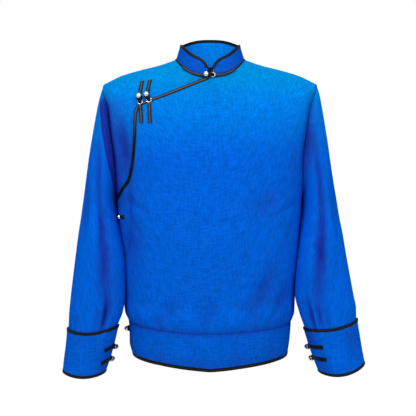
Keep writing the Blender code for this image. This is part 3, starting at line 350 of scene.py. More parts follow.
RIGHT_SECTIONS = (
    Section(232.5, -54.0, 200.5, -308.0, 0.0, 65.0, 0.0),
    Section(239.5, -76.0, 200.5, -309.0, 0.0, 66.5, 0.0),
    Section(245.0, -104.0, 200.4, -311.0, 0.0, 68.0, 0.0),
    Section(251.0, -140.0, 200.1, -313.0, 0.0, 70.0, 0.0),
    Section(257.5, -180.0, 199.8, -315.5, 1.0, 71.5, 0.0),
    Section(263.5, -222.0, 199.5, -318.0, 1.0, 73.0, 0.0),
    Section(269.8, -264.0, 199.0, -321.0, 1.0, 74.0, 0.0),
    Section(276.5, -305.0, 198.3, -327.0, 0.0, 74.0, 0.0),
    Section(281.8, -343.0, 197.0, -344.0, -6.0, 72.0, 0.0),
    Section(287.0, -381.0, 193.0, -382.0, -26.0, 65.0, 0.0),
    Section(292.5, -424.0, 187.8, -424.0, -40.0, 58.0, 0.0),
    Section(299.5, -468.0, 183.5, -467.0, -48.0, 53.0, 0.0),
    Section(306.3, -508.0, 181.5, -509.0, -53.0, 50.0, 2.0),
    Section(311.5, -540.0, 190.5, -549.0, -58.0, 48.0, 5.0),
    Section(311.5, -566.0, 203.0, -585.0, -62.0, 45.0, 7.0),
    Section(316.0, -600.0, 211.0, -612.0, -65.0, 43.0, 8.0),
    Section(320.5, -629.5, 220.5, -639.5, -68.0, 41.5, 10.0),
    Section(324.3, -650.5, 231.0, -667.0, -71.0, 40.0, 12.0),
)

# Folds on a sleeve, by section row and angle round it, 0 on the outer side and 90 in front
SleeveFold = namedtuple("SleeveFold", "row0 around0 row1 around1 width depth")
LEFT_SLEEVE_FOLDS = (
    SleeveFold(2.6, 56.0, 7.8, 112.0, 14.0, 5.5),
    SleeveFold(6.6, 106.0, 10.6, 112.0, 14.0, 4.5),
    SleeveFold(9.0, 102.0, 12.5, 116.0, 15.0, 5.0),
    SleeveFold(11.5, 122.0, 14.2, 118.0, 11.0, 4.5),
    SleeveFold(5.0, 262.0, 11.0, 248.0, 18.0, 6.0),
    SleeveFold(9.5, 292.0, 13.5, 280.0, 14.0, 4.0),
    SleeveFold(6.0, 28.0, 9.0, 60.0, 14.0, 3.5),
    SleeveFold(8.0, 128.0, 10.5, 78.0, 8.0, 1.8),
    SleeveFold(9.2, 140.0, 11.5, 92.0, 7.0, 1.6),
    SleeveFold(11.6, 117.0, 14.4, 118.0, 6.0, 4.0),
    SleeveFold(12.4, 128.0, 14.3, 130.0, 4.5, -1.5),
    SleeveFold(12.4, 98.0, 14.3, 101.0, 6.0, 2.2),
    SleeveFold(12.6, 66.0, 14.1, 72.0, 6.0, 1.4),
    SleeveFold(12.8, 42.0, 14.1, 46.0, 6.0, 1.2),
    SleeveFold(12.4, 250.0, 14.1, 256.0, 7.0, 1.6),
)
RIGHT_SLEEVE_FOLDS = (
    SleeveFold(1.0, 82.0, 8.0, 90.0, 17.0, 6.0),
    SleeveFold(5.0, 87.0, 11.0, 100.0, 17.0, 4.0),
    SleeveFold(7.0, 91.0, 13.8, 115.0, 14.0, 6.0),
    SleeveFold(12.0, 138.0, 14.2, 134.0, 10.0, 4.0),
    SleeveFold(5.0, 258.0, 11.0, 252.0, 18.0, 6.0),
    SleeveFold(10.0, 286.0, 13.5, 276.0, 14.0, 4.0),
    SleeveFold(6.0, 30.0, 9.0, 58.0, 14.0, 3.0),
    SleeveFold(8.4, 132.0, 10.8, 84.0, 8.0, 1.8),
    SleeveFold(9.6, 44.0, 11.6, 84.0, 8.0, 1.5),
    SleeveFold(12.1, 131.0, 14.4, 134.0, 5.0, 3.6),
    SleeveFold(12.0, 113.0, 14.4, 116.0, 5.5, 3.8),
    SleeveFold(12.4, 122.5, 14.4, 125.0, 4.0, -1.6),
    SleeveFold(12.6, 96.0, 14.3, 99.0, 6.0, 1.8),
    SleeveFold(12.6, 64.0, 14.1, 70.0, 6.0, 1.2),
    SleeveFold(12.2, 250.0, 14.1, 254.0, 7.0, 1.6),
)

# Painted shade on the cuffs, and painted highlight where the strength is negative
CuffShadow = namedtuple("CuffShadow", "around row angle_reach row_reach strength")
CUFF_SHADOWS = {
    -1: (CuffShadow(150.0, 16.2, 26.0, 1.3, 0.42), CuffShadow(60.0, 14.2, 30.0, 0.5, 0.16),
         CuffShadow(100.0, 15.2, 22.0, 0.9, 0.05)),
    1: (CuffShadow(158.0, 14.4, 24.0, 0.8, 0.45), CuffShadow(52.0, 14.6, 20.0, 0.9, 0.30),
        CuffShadow(92.0, 15.6, 24.0, 1.1, -0.15), CuffShadow(140.0, 16.8, 26.0, 0.7, 0.20)),
}

# Fastenings on the front, by x and height
FrontFrog = namedtuple("FrontFrog", "name ball ring ball_strap_end ring_strap_end width")
FRONT_FROGS = (
    FrontFrog("collar", (-8.0, -41.5), (5.6, -45.0), (-57.0, -23.5), (50.0, -31.0), 6.6),
    FrontFrog("chest_outer", (-150.5, -90.5), (-147.2, -104.5), (-145.0, -54.5), (-144.3, -147.0), 8.0),
    FrontFrog("chest_inner", (-134.5, -88.0), (-128.5, -100.5), (-128.4, -52.0), (-126.3, -147.4), 8.0),
)

# The same on the side of the body, by turn and row
SideFrog = namedtuple("SideFrog", "name row ball ring ball_strap ring_strap")
SIDE_FROGS = (
    SideFrog("underarm", 2.135, -71.0, -66.0, (-74.2, -76.8), (-59.5, -62.6)),
    SideFrog("band", 3.22, -86.0, -91.0, (-78.5, -83.2), (-94.2, -106.0)),
)

# The same on the cuffs, by sleeve row and angle
CuffStrap = namedtuple("CuffStrap", "far_row near_row far_angle near_angle")
CuffFrog = namedtuple("CuffFrog", "name row left right")
CUFF_FROGS = (
    CuffFrog("upper", 15.30, CuffStrap(15.25, 15.15, 133.0, 172.5), CuffStrap(15.05, 15.22, 121.0, 172.5)),
    CuffFrog("lower", 16.15, CuffStrap(16.15, 16.05, 133.0, 172.5), CuffStrap(15.92, 16.08, 121.0, 172.5)),
)
COLLAR_STRAPS = ((-10.5, -49.0), (8.6, 42.0))
CUFF_RING_AROUND = 180.0
CUFF_BALL_AROUND = 199.0
CUFF_BALL_STRAP = (207.5, 236.0)

# A sheet's cut in metres: the piece's width, length and flat area; none is worked out here
Cut = namedtuple("Cut", "width length area")

# Colours, and the heights in metres over which the linen turns to the next one, from the hem up
# The linen's colours by height are painted light and shade: paler and more cyan upwards, as if lit from
# above, darker low down
LINEN_LOW_PAINTED_SHADE = (0.001, 0.096, 0.56, 1.0)
LINEN_MIDDLE = (0.001, 0.103, 0.60, 1.0)
LINEN_CHEST_PAINTED_LIGHT = (0.0005, 0.165, 0.64, 1.0)
LINEN_SHOULDER_PAINTED_LIGHT = (0.0005, 0.200, 0.53, 1.0)
# Painted light: a paler copy of the linen for the collar's inner face
LINEN_INSIDE_PAINTED_LIGHT = (0.0005, 0.250, 0.90, 1.0)
# Painted shade: a darker copy of the linen for the collar's outer face
LINEN_COLLAR_PAINTED_SHADE = (0.002, 0.075, 0.47, 1.0)
LINEN_SHADOW = (0.010, 0.014, 0.24, 1.0)
PAINTED_LIGHT_HEIGHTS = ((-0.62, -0.25), (-0.24, -0.10), (-0.12, -0.03))
SATIN_DARK = (0.003, 0.003, 0.004, 1.0)

# Painted sheen line on each satin: its colour, its half width from full to none in shares of the strip's
# width, and the heights over which it comes up
SatinLine = namedtuple("SatinLine", "light low high fade")
SATIN_SHEEN_LINES = {
    "black_satin": SatinLine((0.022, 0.020, 0.019, 1.0), 0.03, 0.14, None),
    "front_satin": SatinLine((0.088, 0.086, 0.094, 1.0), 0.10, 0.32, (-0.19, -0.10)),
    "strap_satin": SatinLine((0.066, 0.066, 0.068, 1.0), 0.10, 0.34, (-0.50, -0.20)),
}

# Light and floor
SKY_LIGHT = 0.45
LIGHT_AIM = (0.0, 0.0, -0.3)
FLOOR_RADIUS = 2.4
FLOOR_HEIGHT = -1.45
FLOOR_GREY = (0.82, 0.82, 0.82, 1.0)
Lamp = namedtuple("Lamp", "name place power size")
LAMPS = (
    Lamp("key", (-1.3, -1.9, 1.3), 42.0, 1.2),
    Lamp("second", (1.5, -1.8, 0.9), 26.0, 1.2),
    Lamp("top", (0.0, 0.2, 1.7), 13.0, 1.4),
)

# How finely each piece is divided: steps down each stretch of its rows, and places across or around it
BODY_DOWN = (38, 56, 58)
FRONT_ACROSS = 116
UNDER_ACROSS = 56
BACK_ACROSS = 120
SLEEVE_DOWN = (18, 16, 118, 4)
SLEEVE_AROUND = 124
CUFF_DOWN = (30,)
CUFF_AROUND = 96
BAND_DOWN = (18,)
BAND_AROUND = 236
COLLAR_DOWN = 12
COLLAR_CORNER_PLACES = 36
COLLAR_AROUND = 122
COLLAR_SEAM_PLACES = 200
OPENING_DOWN = (62, 70)
SIDE_SEAM_DOWN = (60, 24)

# Camera, level in front of the middle
CAMERA_PLACE = (-0.0048, -2.1, -0.3256)
CAMERA_LENS = 82.6


def smooth_curve(knots, values):
    """Return a smooth curve through the values that never swings past them."""
    knots, values = np.asarray(knots, dtype=float), np.asarray(values, dtype=float)
    gaps = np.diff(knots)
    slopes = np.diff(values) / gaps
    before, after = slopes[:-1], slopes[1:]
    same = before * after > 0.0
    middle = np.where(same, 2.0 * before * after / np.where(same, before + after, 1.0), 0.0)
    tangents = np.concatenate((slopes[:1], middle, slopes[-1:]))

    def value(place):
        i = np.clip(np.searchsorted(knots, place) - 1, 0, len(gaps) - 1)
        share = np.clip((place - knots[i]) / gaps[i], 0.0, 1.0)
        rest = 1.0 - share
        return (values[i] * (1.0 + 2.0 * share) * rest ** 2
                + values[i + 1] * (1.0 + 2.0 * rest) * share ** 2
                + gaps[i] * share * rest * (tangents[i] * rest - tangents[i + 1] * share))

    return value


def table_curve(rows, key, column):
    """Return one column of a table as a smooth curve over another."""
    return smooth_curve([getattr(row, key) for row in rows], [getattr(row, column) for row in rows])


def smooth_step(share):
    """Rise softly from 0 to 1."""
    share = np.clip(share, 0.0, 1.0)
    return share * share * (3.0 - 2.0 * share)


def unit(vectors):
    """Return vectors at length 1."""
    return vectors / np.linalg.norm(vectors, axis=-1, keepdims=True)


def times(vectors, numbers):
    """Return each vector times its own number."""
    return vectors * np.asarray(numbers)[..., None]


SHOULDER_HEIGHT = table_curve(SHOULDERS, "row", "height")
SHOULDER_WIDTH = table_curve(SHOULDERS, "row", "half_width")
ARMHOLE_X = {side: table_curve(ARMHOLE_EDGES, "fall", side) for side in ("left", "right")}
SIDE_HEIGHT = table_curve(SIDES, "row", "height")
SIDE_X = {side: table_curve(SIDES, "row", side) for side in ("left", "right")}
MIDDLE = {column: table_curve(MIDDLES, "row", column) for column in Middle._fields[1:]}
OPENING_X = smooth_curve([-point.height for point in OPENING], [point.x for point in OPENING])


def edge_of(row):
    """Return the height, both half widths and the half depth where a panel ends at each row."""
    angle = math.pi * np.clip(row - 1.0, 0.0, 1.0)
    fall = (1.0 - np.cos(angle)) / 2.0
    cases = [row <= 1.0, row < 2.0]
    drop = (ARMHOLE_BOTTOM - ARMHOLE_TOP) * fall
    height = np.select(cases, [SHOULDER_HEIGHT(row), ARMHOLE_TOP + drop], SIDE_HEIGHT(row))
    left, right = (np.select(cases, [SHOULDER_WIDTH(row), ARMHOLE_X[side](fall)], SIDE_X[side](row))
                   for side in ("left", "right"))
    return height, left, right, ARMHOLE_HALF_DEPTH * np.sin(angle)


def edge_share(row, front):
    """Return the panel edge's place on its ring as shares of the half width and of the depth."""
    depth = np.where(front, MIDDLE["front_depth"](row), MIDDLE["back_depth"](row))
    across = edge_of(row)[3] / depth
    power = MIDDLE["roundness"](row)
    return (1.0 - across ** power) ** (1.0 / power), across


def edge_turn(row, front):
    """Return the angle from the middle to the panel's edge at each row."""
    wide, deep = edge_share(np.asarray(row, dtype=float), front)
    return np.degrees(np.arctan2(wide, deep))


def ring_point(turn, row):
    """Return points of the plain body at turns and rows."""
    turn, row = np.broadcast_arrays(np.asarray(turn, dtype=float), np.asarray(row, dtype=float))
    sine, cosine = np.sin(np.radians(turn)), np.cos(np.radians(turn))
    front = cosine >= 0.0
    height, left, right, _ = edge_of(row)
    wide, deep = edge_share(row, front)
    half_width = ((left + right) + (right - left) * sine) / 2.0 / wide
    depth = np.where(front, MIDDLE["front_depth"](row), MIDDLE["back_depth"](row))
    level = np.where(front, MIDDLE["front_z"](row), MIDDLE["back_z"](row))
    power = MIDDLE["roundness"](row)
    size = (abs(sine) ** power + abs(cosine) ** power) ** (1.0 / power)
    edge_sine = wide / np.hypot(wide, deep)
    rise = (abs(sine) / edge_sine) ** MIDDLE["rise"](row)
    return np.stack([half_width * sine / size, -depth * cosine / size, level + (height - level) * rise], -1)


def outward_normal(surface, across, along, steps, sign):
    """Return unit normals of a surface, from its slopes in both directions."""
    across, along = np.asarray(across, dtype=float), np.asarray(along, dtype=float)
    slope_across = surface(across + steps[0], along) - surface(across - steps[0], along)
    slope_along = surface(across, along + steps[1]) - surface(across, along - steps[1])
    return sign * unit(np.cross(slope_along, slope_across))


BODY_STEPS = (0.5, 0.004)
SLEEVE_STEPS = (1.0, 0.02)


def inside_rows(row):
    """Keep rows far enough from the first and the last for a slope to be taken there."""
    return np.clip(row, BODY_STEPS[1], 4.0 - BODY_STEPS[1])


def trough(place, start, end, width):
    """Return how deep in a trough each place lies, 1 on its middle line and softly 0 beside and past it."""
    line = np.subtract(end, start)
    share = np.clip((place - start) @ line / (line @ line), 0.0, 1.0)
    off = np.linalg.norm(place - start - times(line, share), axis=-1) / width
    return np.exp(-off * off) * smooth_step(1.0 - 1.5 * abs(share - 0.5))


def armhole_place(point):
    """Return how far inside its armhole a point of the body lies and how far down beside it, 0 to 1."""
    fall = (ARMHOLE_TOP - point[..., 2]) / (ARMHOLE_TOP - ARMHOLE_BOTTOM)
    edge = np.where(point[..., 0] < 0.0, ARMHOLE_X["left"](fall), ARMHOLE_X["right"](fall))
    return edge - abs(point[..., 0]), fall


def fold_depth(point, turn):
    """Return how deep in the folds each point of the body lies."""
    cosine = np.cos(np.radians(turn))
    place = point[..., [0, 2]]
    depths = [sum(fold.depth * trough(place, (fold.x0, fold.z0), (fold.x1, fold.z1), fold.width)
                  for fold in folds) for folds in (FRONT_FOLDS, BACK_FOLDS)]
    return np.where(cosine >= 0.0, *depths) * smooth_step(abs(cosine) / FOLD_SIDE_FADE) * FOLD_STRENGTH


def body_fold(point, turn):
    """Return how far the folds and the armholes draw the body's cloth in at each point."""
    inside, fall = armhole_place(point)
    dip = np.exp(-(inside / ARMHOLE_DIP_WIDTH) ** 2)
    dip = dip * smooth_step((fall - ARMHOLE_DIP_START) / ARMHOLE_DIP_RISE)
    return fold_depth(point, turn) + ARMHOLE_DIP * dip * smooth_step((1.0 - fall) / ARMHOLE_DIP_FADE)


def body_shade(turn, row):
    """Return the painted shade of the body's cloth in its folds and armholes, and below zero where a
    highlight is painted.
    """
    point = ring_point(turn, row)
    inside, fall = armhole_place(point)
    front, left = np.cos(np.radians(turn)) >= 0.0, point[..., 0] < 0.0
    seam, wide = (np.where(front, np.where(left, *column[:2]), column[2])
                  for column in zip(*ARMHOLE_SHADES.values()))
    seam = seam * np.exp(-(inside / ARMHOLE_SEAM_REACH) ** 2)
    wide = wide * np.exp(-(inside / ARMHOLE_WIDE_REACH) ** 2)
    start, rise = ARMHOLE_SHADE_START
    end, fade = ARMHOLE_SHADE_END
    shade = (seam + wide) * smooth_step((fall - start) / rise) * smooth_step((end - fall) / fade)
    shade = shade + BAND_SEAM_SHADE * smooth_step((row - BAND_SHADE_ROW) / BAND_SHADE_RISE) * (row <= 3.0)
    shade = shade - SWELL_BRIGHT * np.exp(-((row - SWELL_ROW) / BAND_SEAM_REACH) ** 2)
    shade = shade + BAND_SEAM_SHADE * np.exp(-((row - 3.0) / BAND_SEAM_REACH) ** 2) * (row > 3.0)
    shade = shade + HEM_SHADE * smooth_step((row - HEM_SHADE_ROW) / HEM_SHADE_RISE)
    return shade + fold_depth(point, turn) * FOLD_SHADE


def body_point(turn, row):
    """Return points of the body's outer face, with its folds."""
    point = ring_point(turn, row)
    normal = outward_normal(ring_point, turn, inside_rows(row), BODY_STEPS, 1.0)
    return point - times(normal, body_fold(point, turn))


def body_normal(turn, row):
    """Return the outward directions of the body's cloth."""
    return outward_normal(body_point, turn, inside_rows(row), BODY_STEPS, 1.0)


def opening_turn(row):
    """Return where the slanting edge crosses each row, found by halving."""
    row = np.asarray(row, dtype=float)
    low, high = -edge_turn(row, True), np.zeros_like(row)
    for _ in range(40):
        middle = (low + high) / 2.0
        point = ring_point(middle, row)
        outside = point[..., 0] < OPENING_X(-point[..., 2])
        low, high = np.where(outside, middle, low), np.where(outside, high, middle)
    return np.where(row >= 2.0, -90.0, high)


class Wire:
    """The output of a shader node. Sums written with it add the nodes that work them out."""

    def __init__(self, shader, socket):
        self.shader = shader
        self.socket = socket

    def math(self, operation, *values):
        return self.shader.add("ShaderNodeMath", {"operation": operation}, dict(enumerate(values)))

    def __add__(self, other):
        return self.math("ADD", self, other)

    def __radd__(self, other):
        return self.math("ADD", other, self)

    def __sub__(self, other):
        return self.math("SUBTRACT", self, other)

    def __rsub__(self, other):
        return self.math("SUBTRACT", other, self)

    def __mul__(self, other):
        return self.math("MULTIPLY", self, other)

    def __rmul__(self, other):
        return self.math("MULTIPLY", other, self)

    def clear_of(self, low, high):
        """Return 0 below the low value and 1 above the high one, with a soft rise between."""
        values = {"Value": self, "From Min": low, "From Max": high}
        return self.shader.add("ShaderNodeMapRange", {"interpolation_type": "SMOOTHSTEP"}, values)


class Shader:
    """The nodes of one material."""

    def __init__(self, name):
        self.material = bpy.data.materials.new(name)
        self.material.use_nodes = True
        self.tree = self.material.node_tree
        self.tree.nodes.clear()

    def add(self, kind, settings=None, values=None, result=0):
        """Add a node with its settings, give its sockets their values or wires, and return an output."""
        node = self.tree.nodes.new(kind)
        for name, value in (settings or {}).items():
            setattr(node, name, value)
        for name, value in (values or {}).items():
            if isinstance(value, Wire):
                self.tree.links.new(value.socket, node.inputs[name])
            else:
                node.inputs[name].default_value = value
        return Wire(self, node.outputs[result])

    def threads(self):
        """Return how far along and across the threads each place lies, in metres."""
        place = self.add("ShaderNodeUVMap", {"uv_map": "threads"})
        parts = self.add("ShaderNodeSeparateXYZ", None, {"Vector": place})
        return parts, Wire(self, parts.socket.node.outputs["Y"])

    def height(self):
        """Return how high each place lies, in metres."""
        place = self.add("ShaderNodeTexCoord", None, None, "Object")
        return self.add("ShaderNodeSeparateXYZ", None, {"Vector": place}, "Z")

    def noise(self, first, second, cycles, offset):
        """Return a noise pattern over two distances, with its own cycles along each."""
        place = {"X": first * cycles[0], "Y": second * cycles[1], "Z": offset}
        place = self.add("ShaderNodeCombineXYZ", None, place)
        return self.add("ShaderNodeTexNoise", None, {"Vector": place, "Scale": 1.0, "Detail": 2.0})

    def mix(self, factor, first, second):
        """Return a mix of two colours; the colour sockets of the node are its seventh and eighth."""
        return self.add("ShaderNodeMix", {"data_type": "RGBA"}, {0: factor, 6: first, 7: second}, 2)

    def scaled(self, colour, factor):
        """Return a colour made lighter or darker."""
        return self.add("ShaderNodeVectorMath", {"operation": "SCALE"}, {"Vector": colour, "Scale": factor})

    def finished(self, values):
        """Add the shader itself with its values and return the material."""
        shader = self.add("ShaderNodeBsdfPrincipled", None, values)
        output = self.tree.nodes.new("ShaderNodeOutputMaterial")
        self.tree.links.new(shader.socket, output.inputs["Surface"])
        return self.material


def make_linen(name, low, middle, chest, shoulder):
    """Return the azure linen: painted light makes it paler towards the shoulders, painted shade darkens its
    folds, and slubs run along and across the threads.
    """
    shader = Shader(name)
    across, along = shader.threads()
    weft = shader.noise(across, along, WEFT, 0.0)
    warp = shader.noise(across, along, WARP, 3.7)
    patches = shader.noise(across, along, PATCHES, 8.1)
    weave = weft * WEFT_SHARE + warp * (1.0 - WEFT_SHARE)
    height = shader.height()
    # Painted light and shade by height: the colour turns from the low one up to the shoulder one
    colour = low
    for heights, upper in zip(PAINTED_LIGHT_HEIGHTS, (middle, chest, shoulder)):
        colour = shader.mix(height.clear_of(*heights), colour, upper)
    # Painted shade: the colour is mixed towards LINEN_SHADOW where the shade attribute is above zero
    shade = shader.add("ShaderNodeAttribute", {"attribute_name": "shade"}, None, "Fac")
    colour = shader.mix(shade.math("MAXIMUM", shade, 0.0), colour, LINEN_SHADOW)
    # Painted highlight where the shade attribute is below zero, then the weave's and the patches' own lighter
    # and darker threads
    light = 1.0 - shade.math("MINIMUM", shade, 0.0) + (weave - 0.5) * WEAVE_CONTRAST
    light = light + (patches - 0.5) * PATCH_CONTRAST
    bump = shader.add("ShaderNodeBump", None, {"Height": weave, "Strength": 0.35, "Distance": 0.0009})
    return shader.finished({
        "Base Color": shader.scaled(colour, light), "Roughness": 0.9, "Specular IOR Level": 0.0,
        "Normal": bump,
    })


def make_satin(name):
    """Return black satin with a painted sheen line along its strips, down to the heights where it fades."""
    sheen_colour, low, high, fade = SATIN_SHEEN_LINES[name]
    shader = Shader(name)
    along, share = shader.threads()
    off = shader.add("ShaderNodeMath", {"operation": "ABSOLUTE"}, {0: share - 0.5})
    sheen_streaks = shader.noise(along, share, SATIN_SHEEN_STREAKS, 1.3)
    # Painted sheen: a paler, streaky line down the middle of each strip
    line = (1.0 - off.clear_of(low, high)) * (0.35 + sheen_streaks * 1.1)
    if fade:
        line = line * shader.height().clear_of(*fade)
    ribs = shader.noise(along, share, SATIN_RIBS, 5.2)
    bump = shader.add("ShaderNodeBump", None, {"Height": ribs, "Strength": 0.25, "Distance": 0.0004})
    return shader.finished({
        "Base Color": shader.mix(line, SATIN_DARK, sheen_colour), "Roughness": 0.5,
        "Specular IOR Level": 0.10, "Normal": bump,
    })


def make_silver():
    """Return polished silver."""
    shader = Shader("silver")
    place = shader.add("ShaderNodeTexCoord", None, None, "Object")
    marks = shader.add("ShaderNodeTexNoise", None, {"Vector": place, "Scale": 900.0, "Detail": 2.0})
    return shader.finished({
        "Base Color": (0.86, 0.86, 0.85, 1.0), "Metallic": 1.0, "Roughness": 0.12 + marks * 0.12,
    })


def make_plain(name, colour):
    """Return a plain matt finish."""
    return Shader(name).finished({"Base Color": colour, "Roughness": 0.9, "Specular IOR Level": 0.1})


# Place and shape of the body's cloth, and of the sleeves

SECTIONS = {-1: LEFT_SECTIONS, 1: RIGHT_SECTIONS}
SLEEVE_FOLDS = {-1: LEFT_SLEEVE_FOLDS, 1: RIGHT_SLEEVE_FOLDS}
SIDE_NAMES = {-1: "left", 1: "right"}


def armhole_axes(side):
    """Return the armhole's upward axis and the direction that leads out of it into the sleeve."""
    first = SECTIONS[side][0]
    axis = unit(np.array([side * (first.outer_x - first.inner_x), 0.0, first.outer_z - first.inner_z]))
    return axis, np.array([side * axis[2], 0.0, -side * axis[0]])


def armhole_rim(side, around):
    """Return the directions in the armhole's plane that point away from its middle."""
    axis, _ = armhole_axes(side)
    angle = np.radians(around)
    half_height = (ARMHOLE_TOP - ARMHOLE_BOTTOM) / 2.0
    return unit(times(axis, np.cos(angle) / half_height)
                - times(np.array([0.0, 1.0, 0.0]), np.sin(angle) / ARMHOLE_HALF_DEPTH))


def armhole_edge(side, around, surface):
    """Return a surface's points on the armhole at these angles, 0 on top and 90 in front."""
    front = around <= 180.0
    row = 1.0 + np.where(front, around, 360.0 - around) / 180.0
    turn = edge_turn(row, front)
    return surface(side * np.where(front, turn, 180.0 - turn), row)


def make_sleeve(side):
    """Return the sleeve's surface, its outward directions and its painted shade, by the angle round it and
    the section row.
    """
    sections = SECTIONS[side]
    curves = [smooth_curve(range(len(sections)), column) for column in zip(*sections)]
    out = armhole_axes(side)[1]

    def oval(around, row):
        outer_x, outer_z, inner_x, inner_z, centre_y, half_depth, droop = (curve(row) for curve in curves)
        sine, share = np.sin(np.radians(around)), (1.0 + np.cos(np.radians(around))) / 2.0
        x = inner_x + (outer_x - inner_x) * share
        z = inner_z + (outer_z - inner_z) * share - droop * np.maximum(sine, 0.0) ** 2
        return np.stack([side * x, centre_y - half_depth * sine, z], -1)

    def plain(around, row):
        around, row = np.broadcast_arrays(np.asarray(around, dtype=float), np.asarray(row, dtype=float))
        full = armhole_edge(side, around % 360.0, ring_point)
        shift = full + out * SLEEVE_GAP - oval(around, np.zeros_like(row))
        drawn = armhole_edge(side, around % 360.0, body_point) - full
        return (oval(around, row) + times(shift, np.clip(1.0 - row / SLEEVE_FIT_ROWS, 0.0, 1.0) ** 2)
                + times(drawn, np.clip(1.0 - row / ARMHOLE_ROLL_ROW, 0.0, 1.0) ** 2))

    def depth_at(around, row):
        place = np.stack([around % 360.0, row * FOLD_ROW_LENGTH], -1)
        return sum(fold.depth * trough(place, (fold.around0, fold.row0 * FOLD_ROW_LENGTH),
                                       (fold.around1, fold.row1 * FOLD_ROW_LENGTH), fold.width)
                   for fold in SLEEVE_FOLDS[side]) * FOLD_STRENGTH

    def folded(around, row):
        point = plain(around, row)
        around, row = np.broadcast_arrays(np.asarray(around, dtype=float), np.asarray(row, dtype=float))
        past, fade = FOLD_CUFF_FADE
        depth = depth_at(around, row) * smooth_step((CUFF_TOP_ROW + past - row) / fade)
        depth = depth * smooth_step(row / FOLD_TOP_FADE)
        kept = np.maximum(row, SLEEVE_STEPS[1])
        return point - times(outward_normal(plain, around, kept, SLEEVE_STEPS, -float(side)), depth)

    def normal(around, row):
        row = np.clip(row, SLEEVE_STEPS[1], CUFF_BOTTOM_ROW - SLEEVE_STEPS[1])
        return outward_normal(folded, around, row, SLEEVE_STEPS, -float(side))

    # Painted shade of the sleeve: in its folds, beside the armhole, above the cuff and beneath the arm, less
    # the painted light
    def shade(around, row):
        off_top = 180.0 - abs(around % 360.0 - 180.0)
        beside = smooth_step((off_top - SLEEVE_SEAM_START) / SLEEVE_SEAM_RISE)
        if side < 0:
            reach = LEFT_SEAM_ROW + LEFT_SEAM_FRONT_ROWS * np.maximum(np.sin(np.radians(around)), 0.0)
            beside = beside * (1.0 - smooth_step((row - reach) / LEFT_SEAM_FADE))
        else:
            front = np.exp(-((around % 360.0 - RIGHT_SEAM_AROUND) / RIGHT_SEAM_REACH) ** 2)
            front = RIGHT_SEAM_LEAST + (1.0 - RIGHT_SEAM_LEAST) * front
            beside = beside * front * np.exp(-(row / RIGHT_SEAM_ROWS) ** 2)
        seam = SLEEVE_SEAM_SHADE[side] * beside
        seam = seam + CUFF_SEAM_SHADE * np.exp(-((row - CUFF_TOP_ROW) / CUFF_SEAM_REACH) ** 2)
        inner = UNDERARM_SHADE * np.exp(-((around - 180.0) / UNDERARM_REACH) ** 2)
        inner = inner * smooth_step(row - UNDERARM_ROW)
        return depth_at(around, row) * FOLD_SHADE + seam + inner - SLEEVE_BRIGHT[side]

    return folded, normal, shade


def collar_point(turn, up):
    """Return points of the collar's outer face, up 0 at its seam and 1 on its top edge."""
    base = ring_point(turn, np.zeros_like(turn))
    cosine = np.cos(np.radians(turn))
    end_height = np.where(cosine > 0.0, COLLAR_HEIGHT_FRONT, COLLAR_HEIGHT_BACK)
    height = COLLAR_HEIGHT_SIDE + (end_height - COLLAR_HEIGHT_SIDE) * cosine ** 2
    height = height + COLLAR_SWELL * np.where(cosine > 0.0, np.sin(np.radians(2.0 * turn)) ** 2, 0.0)
    top = base * np.array([COLLAR_LEAN, COLLAR_LEAN, 1.0]) + times(UP, height)
    from_middle = np.radians(abs((turn + 180.0) % 360.0 - 180.0)) * NECK_RADIUS
    along = np.clip((from_middle - COLLAR_GAP) / COLLAR_CORNER, 0.0, 1.0)
    rise = np.sin(along * math.pi / 2.0) ** COLLAR_CORNER_POWER
    share = COLLAR_CORNER_SHARE + (1.0 - COLLAR_CORNER_SHARE) * rise
    return base + times(top - base, share * up)


# Sheets of cloth, each a grid of points with its outward directions, its place along the threads and its
# painted shade

Sheet = namedtuple("Sheet", "points normals threads shade")


def spread(surface, first, last, row, count):
    """Return places from first to last in each row, spaced evenly along the surface."""
    shares = np.linspace(0.0, 1.0, 241)
    places = first[:, None] + (last - first)[:, None] * shares
    steps = np.linalg.norm(np.diff(surface(places, row[:, None]), axis=1), axis=-1)
    lengths = np.concatenate((np.zeros((len(row), 1)), np.cumsum(steps, axis=1)), axis=1)
    wanted = np.linspace(0.0, 1.0, count)
    return np.stack([np.interp(wanted * length[-1], length, place) for length, place in zip(lengths, places)])


def walked(points, axis):
    """Return the distance walked over a grid of points in one direction."""
    steps = np.linalg.norm(np.diff(points, axis=axis), axis=-1)
    start = np.zeros_like(np.take(steps, [0], axis))
    return np.concatenate((start, np.cumsum(steps, axis=axis)), axis=axis)


def sheet_of(points, normals, places, middle, shade):
    """Return a sheet whose lengthways thread runs through the middle place of each row."""
    across, along = walked(points, 1), walked(points, 0)
    order = 1 if places[0, -1] > places[0, 0] else -1
    zero = np.array([np.interp(middle, row[::order], length[::order]) for row, length in zip(places, across)])
    shade = np.broadcast_to(shade, points.shape[:2])
    return Sheet(points, normals, np.stack([across - zero[:, None], -along], -1), shade)


def turned_in(sheet, side, outward=None):
    """Return the sheet with its cloth turned in along one edge, as at a seam."""
    axis = 0 if side in ("top", "bottom") else 1
    step = -1 if side in ("bottom", "last") else 1
    points, normals, threads, shade = (np.moveaxis(item, axis, 0)[::step] for item in sheet)
    outward = normals[0] if outward is None else outward
    back = unit(points[1] - points[0])
    rim = [points[0] + back * across - outward * depth for across, depth in reversed(SEAM_TURNINGS)]
    turned = (
        np.concatenate((np.stack(rim), points[1:])),
        np.concatenate((np.stack([outward] * len(rim)), normals[1:])),
        np.concatenate((np.stack([threads[0]] * len(rim)), threads[1:])),
        np.concatenate((np.stack([shade[0]] * len(rim)), shade[1:])),
    )
    return Sheet(*(np.moveaxis(item[::step], 0, axis) for item in turned))


def dress(piece, node=None):
    """Hide the solid that a piece stands in for, where one is named, and ride the piece on the root body."""
    if node:
        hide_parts(node)
    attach(piece, "root")
    return piece


